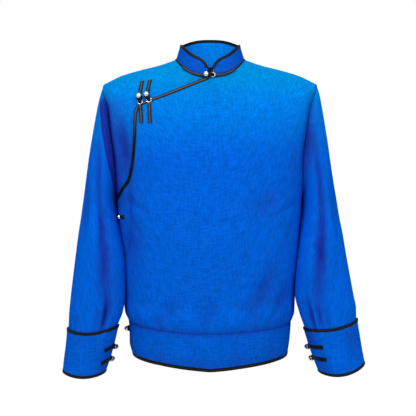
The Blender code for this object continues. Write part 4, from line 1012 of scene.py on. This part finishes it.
def add_mesh(name, points, faces, threads, material):
    """Add a mesh, given in millimetres, as a piece."""
    mesh = bpy.data.meshes.new(name)
    mesh.from_pydata((points * MM).tolist(), [], faces)
    corners = np.empty(len(mesh.loops), dtype=int)
    mesh.loops.foreach_get("vertex_index", corners)
    layer = mesh.uv_layers.new(name="threads")
    layer.uv.foreach_set("vector", threads[corners].astype(float).ravel())
    mesh.materials.append(material)
    mesh.shade_smooth()
    mesh.set_sharp_from_angle(angle=math.radians(CLOTH_SHARP_ANGLE))
    piece = bpy.data.objects.new(name + PIECE, mesh)
    bpy.context.scene.collection.objects.link(piece)
    return piece


def add_cloth(name, sheet, thickness, material, inside_painted_light=None):
    """Add a sheet of cloth with this thickness, its outer face on the given points."""
    points, normals, threads, shade = sheet
    facing = np.cross(np.gradient(points, axis=0), np.gradient(points, axis=1))
    ahead = (facing * normals).sum() > 0.0
    facing = unit(facing + 1e-9) * (1.0 if ahead else -1.0)
    rows, columns = points.shape[:2]
    index = np.arange(rows * columns).reshape(rows, columns)
    quads = np.stack((index[:-1, :-1], index[:-1, 1:], index[1:, 1:], index[1:, :-1]), -1).reshape(-1, 4)
    if ahead:
        quads = quads[:, ::-1]
    edges = {pair for k in range(4) for pair in zip(quads[:, k].tolist(), quads[:, (k + 1) % 4].tolist())}
    inside = rows * columns
    faces = quads.tolist() + (quads[:, ::-1] + inside).tolist()
    faces += [[end, start, start + inside, end + inside] for start, end in sorted(edges)
              if (end, start) not in edges]
    both = np.concatenate((points.reshape(-1, 3), (points - facing * thickness).reshape(-1, 3)))
    threads = np.tile(threads.reshape(-1, 2) * MM, (2, 1))
    piece = add_mesh(name, both, faces, threads, material)
    # Painted shade at each point, at less strength on the inner face
    layer = piece.data.attributes.new("shade", "FLOAT", "POINT")
    layer.data.foreach_set("value", np.concatenate((shade.ravel(), shade.ravel() * 0.3)).astype(np.float32))
    # The inner face can take its own material, a copy of the linen with painted light
    if inside_painted_light:
        piece.data.materials.append(inside_painted_light)
        inner = np.arange(len(faces))
        inner = (inner >= len(quads)) & (inner < 2 * len(quads))
        piece.data.polygons.foreach_set("material_index", inner.astype(np.int32))
    return dress(piece, name)


def rounded_section(first, last, low, high, power=0.45):
    """Return the section of a strip with rounded edges, as how far across and how far out it lies."""
    angle = np.radians(np.arange(0.0, 360.0, 15.0))
    cosine, sine = np.cos(angle), np.sin(angle)
    across = (first + last) / 2.0 + (last - first) / 2.0 * np.sign(cosine) * abs(cosine) ** power
    out = (low + high) / 2.0 + (high - low) / 2.0 * np.sign(sine) * abs(sine) ** (power * 1.6)
    return np.stack([across, out], -1)


def add_strip(name, edge, outward, inward, section, material):
    """Add a strip of this section along an edge; inward leads from the edge across the strip."""
    count, sides = len(edge), len(section)
    points = edge[:, None] + inward[:, None] * section[:, :1] + outward[:, None] * section[:, 1:]
    index = np.arange(count * sides).reshape(count, sides)
    here, there = index, np.roll(index, -1, axis=1)
    quads = np.stack((here[:-1], there[:-1], there[1:], here[1:]), -1).reshape(-1, 4)
    lengths = walked(edge[None], 1)[0] * MM
    shares = (section[:, 0] - section[:, 0].min()) / np.ptp(section[:, 0])
    threads = np.stack(np.broadcast_arrays(lengths[:, None], shares[None]), -1).reshape(-1, 2)
    faces = quads.tolist() + [index[0, ::-1].tolist(), index[-1].tolist()]
    turned = np.cross(edge[1] - edge[0], inward[0]) @ outward[0]
    if turned > 0.0:
        faces = [face[::-1] for face in faces]
    return dress(add_mesh(name, points.reshape(-1, 3), faces, threads, material), name)


def square_to(edge, outward, toward):
    """Return for each point of an edge the direction in the cloth that runs square to it."""
    side = unit(np.cross(outward, np.gradient(edge, axis=0)))
    return times(side, np.sign((side * (toward - edge)).sum(-1)))


def tree_of(piece):
    """Return a piece's faces for casting rays at them."""
    mesh = piece.data
    return BVHTree.FromPolygons([tuple(vertex.co) for vertex in mesh.vertices],
                                [tuple(face.vertices) for face in mesh.polygons])


def height_over(trees, place, outward, reach):
    """Return how high above a place the topmost layer reaches."""
    start = Vector((place + outward * reach) * MM)
    hits = [tree.ray_cast(start, Vector(-outward), 2.0 * reach * MM) for tree in trees]
    return max([reach - hit[3] / MM for hit in hits if hit[0] is not None] + [-reach])


def row_numbers(stops, counts):
    """Return rows from the first stop to the last, with each stretch cut into its number of steps."""
    parts = [np.linspace(start, end, count + 1)[1:] for start, end, count in zip(stops, stops[1:], counts)]
    return np.concatenate([[stops[0]], *parts])


def side_outward(normals, rows, side, front):
    """Return the outward directions along a panel's side, square to the armhole where it runs there."""
    around = (rows - 1.0) * 180.0
    rim = armhole_rim(side, np.where(front, around, 360.0 - around))
    share = smooth_step((rows - 0.98) / 0.02) * smooth_step((2.02 - rows) / 0.02)
    return unit(times(normals, 1.0 - share) + times(rim, share))


def body_sheet(first, last, rows, columns, middle, depth=None):
    """Return a panel of the body between two turns in each row."""
    turns = spread(ring_point, first, last, rows, columns)
    row = np.broadcast_to(rows[:, None], turns.shape)
    normals = body_normal(turns, row)
    points = body_point(turns, row)
    if depth is not None:
        points = points - times(normals, depth(turns, row))
    return sheet_of(points, normals, turns, middle, body_shade(turns, row))


def add_body(linen):
    """Add the front, the under-front and the back."""
    rows = row_numbers((0.0, 1.0, 2.0, 3.0), BODY_DOWN)
    front_edge = edge_turn(rows, True)
    front = body_sheet(front_edge, opening_turn(rows), rows, FRONT_ACROSS, 0.0)
    front = turned_in(front, "first", side_outward(front.normals[:, 0], rows, 1, True))
    front = turned_in(front, "bottom")
    back_edge = edge_turn(rows, False)
    back = body_sheet(180.0 - back_edge, 180.0 + back_edge, rows, BACK_ACROSS, 180.0)
    back = turned_in(back, "first", side_outward(back.normals[:, 0], rows, 1, False))
    back = turned_in(back, "last", side_outward(back.normals[:, -1], rows, -1, False))
    back = turned_in(back, "bottom")

    upper = rows[rows <= 2.0]

    def under_depth(turn, row):
        return LAP_DROP * smooth_step((turn - opening_turn(row) + LAP_FADE) / LAP_FADE)

    first, last = -edge_turn(upper, True), opening_turn(upper) + LAP_TURN
    under = body_sheet(first, last, upper, UNDER_ACROSS, 0.0, under_depth)
    under = turned_in(under, "first", side_outward(under.normals[:, 0], upper, -1, True))
    return [add_cloth(name, sheet, CLOTH, linen)
            for name, sheet in (("front_main", front), ("front_under", under), ("back", back))]


def add_sleeve(side, linen):
    """Add a sleeve, its seam beneath the arm, from the armhole to just inside its cuff."""
    surface, normal, shade = make_sleeve(side)
    rows = row_numbers((0.0, 1.0, 3.0, CUFF_TOP_ROW, SLEEVE_END_ROW), SLEEVE_DOWN)
    start = np.full(len(rows), 180.0)
    around = spread(surface, start, start + 360.0, rows, SLEEVE_AROUND)
    row = np.broadcast_to(rows[:, None], around.shape)
    sheet = sheet_of(surface(around, row), normal(around, row), around, 360.0, shade(around, row))
    for edge in ("first", "last"):
        sheet = turned_in(sheet, edge)
    spare = len(SEAM_TURNINGS) - 1
    around = np.pad(around[0], spare, "edge") % 360.0
    sheet = turned_in(sheet, "top", armhole_rim(side, around))
    return add_cloth("sleeve_" + SIDE_NAMES[side], sheet, CLOTH, linen)


def cuff_surface(side):
    """Return the cuff's outer face as a function, and its outward directions."""
    surface, normal, _ = make_sleeve(side)
    return (lambda around, row: surface(around, row) + normal(around, row) * CUFF_STAND_OFF), normal


def cuff_shade(side, around, row):
    """Return the painted shade of a cuff at each place, below zero where a highlight is painted."""
    return sum(spot.strength * np.exp(-((around % 360.0 - spot.around) / spot.angle_reach) ** 2
                                      - ((row - spot.row) / spot.row_reach) ** 2)
               for spot in CUFF_SHADOWS[side])


def edge_section(cloth, inner_proud, lap=BINDING_LAP):
    """Return the section of a bound edge that carries on from the end of a cloth of this thickness."""
    return rounded_section(-0.3 - BINDING_WIDTH, lap, -cloth - inner_proud, 0.7)


def add_cuff(side, linen, satin):
    """Add a cuff, split along its inner side, and the binding on its two edges."""
    surface, normal = cuff_surface(side)
    name = SIDE_NAMES[side]
    rows = row_numbers((CUFF_TOP_ROW, CUFF_BOTTOM_ROW), CUFF_DOWN)
    start = np.full(len(rows), 180.0 + CUFF_SLIT_TURN)
    around = spread(surface, start, start + 360.0 - 2.0 * CUFF_SLIT_TURN, rows, CUFF_AROUND)
    row = np.broadcast_to(rows[:, None], around.shape)
    shade = cuff_shade(side, around, row)
    sheet = sheet_of(surface(around, row), normal(around, row), around, 360.0, shade)
    cuff = add_cloth("cuff_" + name, sheet, CUFF_CLOTH, linen)
    strips = []
    for label, first, second in (("top", 0, 1), ("bottom", -1, -2)):
        edge, outward = sheet.points[first], sheet.normals[first]
        inward = square_to(edge, outward, sheet.points[second])
        section = edge_section(CUFF_CLOTH, 0.0 if label == "top" else 0.6)
        node = "binding_cuff_%s_%s" % (label, name)
        strips.append(add_strip(node, edge, outward, inward, section, satin))
    return cuff, strips


def neck_seam(turns):
    """Return the collar's seam, the directions out of it and the directions that lead down across it."""
    edge = ring_point(turns, 0.0)
    along = unit(ring_point(turns + 0.5, 0.0) - ring_point(turns - 0.5, 0.0))
    rise = edge * np.array([COLLAR_LEAN - 1.0, COLLAR_LEAN - 1.0, 0.0]) + UP * COLLAR_HEIGHT_SIDE
    down = unit(unit(ring_point(turns, 0.1) - edge) - unit(rise))
    out = unit(np.cross(down, along))
    return edge, times(out, np.sign((out * edge * np.array([1.0, 1.0, 0.0])).sum(-1))), down


def add_collar(linen, inside_painted_light, satin):
    """Add the stand collar and the binding on its top edge and over its seam."""
    shares = np.linspace(0.0, 1.0, COLLAR_CORNER_PLACES)
    corner = COLLAR_END_TURN + (COLLAR_FRONT_TURN - COLLAR_END_TURN) * shares ** 2
    turns = np.linspace(COLLAR_FRONT_TURN, 360.0 - COLLAR_FRONT_TURN, COLLAR_AROUND)[1:-1]
    turns = np.concatenate((corner, turns, 360.0 - corner[::-1]))
    base, top = collar_point(turns, 0.0), collar_point(turns, 1.0)
    around = collar_point(turns + 0.5, 0.5) - collar_point(turns - 0.5, 0.5)
    normals = unit(np.cross(base - top, around))
    rise = unit(top - base)
    behind = collar_point(turns + 8.0 * np.sign(180.0 - turns), 0.0)
    inward = square_to(top, normals, behind)
    cloth_top = top + inward * (COLLAR_BINDING_WIDTH - COLLAR_CLOTH_LAP)
    shares = np.linspace(0.0, 1.0, COLLAR_DOWN)[:, None, None]
    behind_neck = smooth_step(-np.cos(np.radians(turns)) / 0.5)
    low = base - times(rise, COLLAR_TURN_UNDER + COLLAR_FACING * behind_neck)
    points = low + (cloth_top - low) * shares
    grid_normals = np.broadcast_to(normals, points.shape)
    places = np.broadcast_to(turns, points.shape[:2])
    sheet = sheet_of(points, grid_normals, places, 180.0, 0.0)
    collar = add_cloth("collar", sheet, COLLAR_CLOTH, linen, inside_painted_light)
    section = rounded_section(0.0, COLLAR_BINDING_WIDTH, -COLLAR_CLOTH - 0.6, 0.6)
    strips = [add_strip("binding_collar_top", top, normals, inward, section, satin)]
    edge, outward, inward = neck_seam(np.linspace(0.3, 359.7, COLLAR_SEAM_PLACES))
    section = rounded_section(-PIPING_HALF_WIDTH, PIPING_HALF_WIDTH, -1.2, 1.9, 0.7)
    strips.append(add_strip("binding_collar_base", edge, outward, inward, section, satin))
    return collar, strips


def add_band(linen, satin):
    """Add the band at the hem, open at the viewer's left side, and the binding on its lower edge."""
    rows = row_numbers((3.0, 4.0), BAND_DOWN)
    start = np.full(len(rows), BAND_SLIT_TURN - 90.0)
    turns = spread(ring_point, start, start + 360.0 - 2.0 * BAND_SLIT_TURN, rows, BAND_AROUND)
    row = np.broadcast_to(rows[:, None], turns.shape)
    sheet = sheet_of(body_point(turns, row), body_normal(turns, row), turns, 0.0, body_shade(turns, row))
    edge, outward = sheet.points[-1], sheet.normals[-1]
    inward = square_to(edge, outward, sheet.points[-2])
    band = add_cloth("hem_band", turned_in(sheet, "top"), BAND_CLOTH, linen)
    section = edge_section(BAND_CLOTH, 0.6, HEM_BINDING_LAP)
    return band, [add_strip("binding_hem", edge, outward, inward, section, satin)]


def add_edge_binding(name, rows, tree, satin):
    """Add a stretch of the binding along the front's free edge, rolled over it."""
    turns = opening_turn(rows)
    edge, outward = body_point(turns, rows), body_normal(turns, rows)
    inward = square_to(edge, outward, body_point(turns + 4.0, rows))
    far = edge + inward * OPENING_BINDING_WIDTH
    lift = np.array([height_over([tree], place, out, EDGE_REACH) for place, out in zip(far, outward)])
    far = far + times(outward, np.where(lift > -EDGE_REACH, lift, 0.0))
    section = rounded_section(-0.5, OPENING_BINDING_WIDTH, 0.25, 1.75)
    return add_strip(name, edge, outward, (far - edge) / OPENING_BINDING_WIDTH, section, satin)


# Fastenings

def front_places(spots):
    """Return places and outward directions of the front at each x and height, found by stepping."""
    spots = np.asarray(spots, dtype=float)
    turn, row = np.degrees(np.arctan2(spots[:, 0], 100.0)), np.full(len(spots), 0.6)
    for _ in range(30):
        here = ring_point(turn, row)
        by_turn = (ring_point(turn + 0.5, row) - here)[:, [0, 2]] / 0.5
        by_row = (ring_point(turn, row + 0.01) - here)[:, [0, 2]] / 0.01
        step = np.linalg.solve(np.stack((by_turn, by_row), -1), (spots - here[:, [0, 2]])[..., None])[..., 0]
        turn = turn + np.clip(step[:, 0], -10.0, 10.0)
        row = np.clip(row + np.clip(step[:, 1], -0.3, 0.3), 0.001, 2.9)
    return ring_point(turn, row), outward_normal(ring_point, turn, inside_rows(row), BODY_STEPS, 1.0)


def even_path(start, end, steps):
    """Return evenly spaced places from one to the other."""
    return np.linspace(np.asarray(start, dtype=float), np.asarray(end, dtype=float), steps + 1)


def strap_section(width):
    """Return the section of a strap folded from satin, with a shallow groove between its two edges."""
    section = rounded_section(-width / 2.0, width / 2.0, 0.0, STRAP_THICKNESS, 0.4)
    groove = STRAP_GROOVE * np.exp(-(section[:, 0] / (width * STRAP_GROOVE_SHARE)) ** 2)
    section[:, 1] -= np.where(section[:, 1] > STRAP_THICKNESS / 2.0, groove, 0.0)
    return section


def over_neighbours(measure, values, reach):
    """Return a measure, such as the highest, of each value together with its neighbours on both sides."""
    padded = np.pad(values, reach, "edge")
    return np.array([measure(padded[i:i + 2 * reach + 1]) for i in range(len(values))])


def add_strap(name, trees, path, outward, width, satin):
    """Add a flat strap that follows a path on top of whatever lies there."""
    side = unit(np.cross(outward, np.gradient(path, axis=0)))
    lift = np.array([max(height_over(trees, place + across * share * width * 0.52, out, LAYER_REACH)
                         for share in (-1.0, -0.5, 0.0, 0.5, 1.0))
                     for place, across, out in zip(path, side, outward)])
    highest = over_neighbours(np.max, lift, 3)
    raised = over_neighbours(np.mean, highest, 2)
    edge = path + times(outward, np.maximum(raised, highest - STRAP_SINK) + STRAP_LIFT)
    return add_strip(name, edge, outward, side, strap_section(width), satin)


def join(items):
    """Join objects into the first of them and return its mesh, dropping the object."""
    bpy.ops.object.select_all(action="DESELECT")
    for item in items:
        item.select_set(True)
    bpy.context.view_layer.objects.active = items[0]
    bpy.ops.object.join()
    bpy.ops.object.transform_apply(location=True, rotation=True, scale=True)
    mesh = items[0].data
    mesh.shade_smooth()
    mesh.set_sharp_from_angle(angle=math.radians(HARD_SHARP_ANGLE))
    bpy.data.objects.remove(items[0])
    return mesh


def make_button():
    """Return the mesh of a silver button: a ball, a shank and a ring."""
    bpy.ops.mesh.primitive_uv_sphere_add(segments=32, ring_count=18, radius=BALL_RADIUS * MM,
                                         location=(0.0, 0.0, BALL_RADIUS * MM))
    ball = bpy.context.object
    length = (BALL_TO_RING - RING_RADIUS) * MM
    bpy.ops.mesh.primitive_cylinder_add(vertices=16, radius=SHANK_RADIUS * MM, depth=length,
                                        location=(length / 2.0, 0.0, SHANK_HEIGHT * MM),
                                        rotation=(0.0, math.radians(90.0), 0.0))
    shank = bpy.context.object
    bpy.ops.mesh.primitive_torus_add(major_segments=40, minor_segments=12,
                                     major_radius=RING_SHOWN_RADIUS * MM, minor_radius=RING_SHOWN_WIRE * MM,
                                     location=(BALL_TO_RING * MM, 0.0, SHANK_HEIGHT * MM))
    ring = bpy.context.object
    return join([ball, shank, ring])


def make_knot():
    """Return the mesh of the black cord: a loop round the ball, turns round the shank, a bead in the ring."""
    items = []
    bpy.ops.mesh.primitive_torus_add(major_segments=36, minor_segments=10, major_radius=LOOP_RADIUS * MM,
                                     minor_radius=LOOP_CORD * MM, location=(0.0, 0.0, LOOP_HEIGHT * MM))
    items.append(bpy.context.object)
    for place, tilt in KNOT_TURNS:
        bpy.ops.mesh.primitive_torus_add(major_segments=24, minor_segments=12, major_radius=KNOT_RADIUS * MM,
                                         minor_radius=KNOT_CORD * MM,
                                         location=(place * MM, 0.0, SHANK_HEIGHT * MM),
                                         rotation=(0.0, math.radians(90.0), math.radians(tilt)))
        items.append(bpy.context.object)
    bpy.ops.mesh.primitive_uv_sphere_add(segments=20, ring_count=12, radius=BEAD_RADIUS * MM,
                                         location=(BALL_TO_RING * MM, 0.0, BEAD_HEIGHT * MM))
    items.append(bpy.context.object)
    return join(items)


def button_frame(node, ball, ring, outward):
    """Return where a button of the solids sits: its ball's foot, the way to its ring and its outward way."""
    axis = ring - ball
    axis = unit(axis - outward * (axis @ outward))
    side = np.cross(outward, axis)
    points = np.array([vertex.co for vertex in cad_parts[node].data.vertices]) / MM
    places = points @ np.stack((axis, side, outward), -1)
    low, high = places.min(0), places.max(0)
    foot = (axis * (high[0] - BALL_TO_RING - RING_RADIUS - RING_WIRE)
            + side * (low[1] + high[1]) / 2.0 + outward * low[2])
    return Matrix([[axis[i], side[i], outward[i], foot[i] * MM] for i in range(3)] + [[0.0, 0.0, 0.0, 1.0]])


def add_copy(name, mesh, place, material, node=None):
    """Add a copy of a finished mesh at a place."""
    copy = mesh.copy()
    copy.transform(place)
    copy.materials.clear()
    copy.materials.append(material)
    piece = bpy.data.objects.new(name + PIECE, copy)
    bpy.context.scene.collection.objects.link(piece)
    return dress(piece, node)


def add_frog(name, trees, ball, ring, straps, width, meshes, finishes):
    """Add a fastening: its button and cord, and a strap on either side of them."""
    (ball, ball_out), (ring, ring_out) = ball, ring
    place = button_frame("button_" + name, ball, ring, unit(ball_out + ring_out))
    pieces = [
        add_copy("button_" + name, meshes[0], place, finishes["silver"], "button_" + name),
        add_copy("knot_" + name, meshes[1], place, finishes["strap"]),
    ]
    for label, (path, outward) in zip(("ball", "ring"), straps):
        node = "strap_%s_%s" % (name, label)
        pieces.append(add_strap(node, trees, path, outward, width, finishes["strap"]))
    return pieces


def front_straps(frog):
    """Return the paths and outward directions of the two straps of a fastening on the front."""
    if frog.name == "collar":
        return [neck_seam(np.linspace(first, last, STRAP_STEPS + 1))[:2] for first, last in COLLAR_STRAPS]
    straps = []
    for centre, size, end in ((frog.ball, BALL_RADIUS, frog.ball_strap_end),
                              (frog.ring, RING_RADIUS + RING_WIRE, frog.ring_strap_end)):
        start = np.array(centre) + unit(np.subtract(end, centre)) * (size + 0.2)
        straps.append(front_places(even_path(start, end, STRAP_STEPS)))
    return straps


def add_frogs(trees, finishes):
    """Add all nine fastenings and return their pieces by name."""
    meshes = (make_button(), make_knot())
    found = {}

    def fasten(name, ends, straps, width=STRAP_WIDTH):
        found[name] = add_frog(name, trees, *zip(*ends), straps, width, meshes, finishes)

    for frog in FRONT_FROGS:
        fasten(frog.name, front_places([frog.ball, frog.ring]), front_straps(frog), frog.width)
    for frog in SIDE_FROGS:
        stretches = ((frog.ball, frog.ring, 1), (*frog.ball_strap, SIDE_STRAP_STEPS),
                     (*frog.ring_strap, SIDE_STRAP_STEPS))
        paths = [even_path((first, frog.row), (last, frog.row), steps) for first, last, steps in stretches]
        ends, *straps = [(body_point(*path.T), body_normal(*path.T)) for path in paths]
        fasten(frog.name, ends, straps)
    for side, side_name in SIDE_NAMES.items():
        surface, normal = cuff_surface(side)
        for frog in CUFF_FROGS:
            strap = frog.left if side < 0 else frog.right
            first, last = CUFF_BALL_STRAP
            near, far = (strap.near_angle, strap.near_row), (strap.far_angle, strap.far_row)
            paths = [even_path((CUFF_BALL_AROUND, frog.row), (CUFF_RING_AROUND, frog.row), 1),
                     even_path((first, frog.row), (last, frog.row), STRAP_STEPS),
                     even_path(near, far, STRAP_STEPS)]
            ends, *straps = [(surface(*path.T), normal(*path.T)) for path in paths]
            fasten("cuff_%s_%s" % (side_name, frog.name), ends, straps)
    return found


def add_jacket():
    """Add every piece of the jacket."""
    linen = make_linen("azure_linen", LINEN_LOW_PAINTED_SHADE, LINEN_MIDDLE, LINEN_CHEST_PAINTED_LIGHT, LINEN_SHOULDER_PAINTED_LIGHT)
    # The collar's outer face: a copy of the linen with painted shade, darker at the shoulder heights
    collar_linen = make_linen("collar_linen", LINEN_LOW_PAINTED_SHADE, LINEN_MIDDLE, LINEN_MIDDLE, LINEN_COLLAR_PAINTED_SHADE)
    silver = make_silver()
    satin, front_satin, strap = map(make_satin, SATIN_SHEEN_LINES)
    main, under, back = add_body(linen)
    sleeves = {side: add_sleeve(side, linen) for side in SIDE_NAMES}
    cuffs = {side: add_cuff(side, linen, satin) for side in SIDE_NAMES}
    # The collar's inner face: one paler colour at every height, as painted light
    inside_painted_light = make_linen("collar_lining", *[LINEN_INSIDE_PAINTED_LIGHT] * 4)
    collar, collar_strips = add_collar(collar_linen, inside_painted_light, satin)
    band, band_strips = add_band(linen, satin)
    main_tree = tree_of(main)
    rows = row_numbers(OPENING_ROWS, OPENING_DOWN)
    opening = add_edge_binding("binding_opening", rows, main_tree, front_satin)
    rows = row_numbers(SIDE_SEAM_ROWS, SIDE_SEAM_DOWN)
    side = add_edge_binding("binding_side", rows, main_tree, satin)
    layers = [main, under, back, collar, band, opening, side, *collar_strips, *band_strips,
              *(cuff for cuff, _ in cuffs.values()),
              *(strip for _, strips in cuffs.values() for strip in strips)]
    frogs = add_frogs([tree_of(piece) for piece in layers], {"silver": silver, "strap": strap})

    for side_number, side_name in SIDE_NAMES.items():
        cuff, strips = cuffs[side_number]
        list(strips)
    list(collar_strips)
    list(band_strips)


def add_lamp(lamp):
    """Add a soft square light that faces the jacket."""
    data = bpy.data.lights.new(lamp.name, "AREA")
    data.energy = lamp.power
    data.size = lamp.size
    item = bpy.data.objects.new(lamp.name, data)
    item.location = lamp.place
    item.rotation_euler = (Vector(LIGHT_AIM) - item.location).to_track_quat("-Z", "Y").to_euler()
    bpy.context.scene.collection.objects.link(item)


def add_studio():
    """Add the floor, the lights, the white surroundings and the camera."""
    scene = bpy.context.scene
    bpy.ops.mesh.primitive_circle_add(vertices=96, radius=FLOOR_RADIUS, fill_type="NGON",
                                      location=(0.0, 0.0, FLOOR_HEIGHT))
    floor = bpy.context.object
    floor.name = "floor"
    floor.data.materials.append(make_plain("pale_floor", FLOOR_GREY))
    for lamp in LAMPS:
        add_lamp(lamp)
    world = bpy.data.worlds.new("studio")
    world.use_nodes = True
    nodes, links = world.node_tree.nodes, world.node_tree.links
    sky = nodes["Background"]
    sky.inputs["Color"].default_value = (1.0, 1.0, 1.0, 1.0)
    rays = nodes.new("ShaderNodeLightPath")
    strength = nodes.new("ShaderNodeMapRange")
    strength.inputs["To Min"].default_value = SKY_LIGHT
    strength.inputs["To Max"].default_value = 1.0
    links.new(rays.outputs["Is Camera Ray"], strength.inputs["Value"])
    links.new(strength.outputs["Result"], sky.inputs["Strength"])
    scene.world = world
    scene.view_settings.view_transform = "Standard"
    data = bpy.data.cameras.new("camera")
    data.lens = CAMERA_LENS
    data.sensor_width = 36.0
    camera = bpy.data.objects.new("camera", data)
    camera.location = CAMERA_PLACE
    camera.rotation_euler = (math.radians(90.0), 0.0, 0.0)
    scene.collection.objects.link(camera)
    scene.camera = camera


add_jacket()
add_studio()
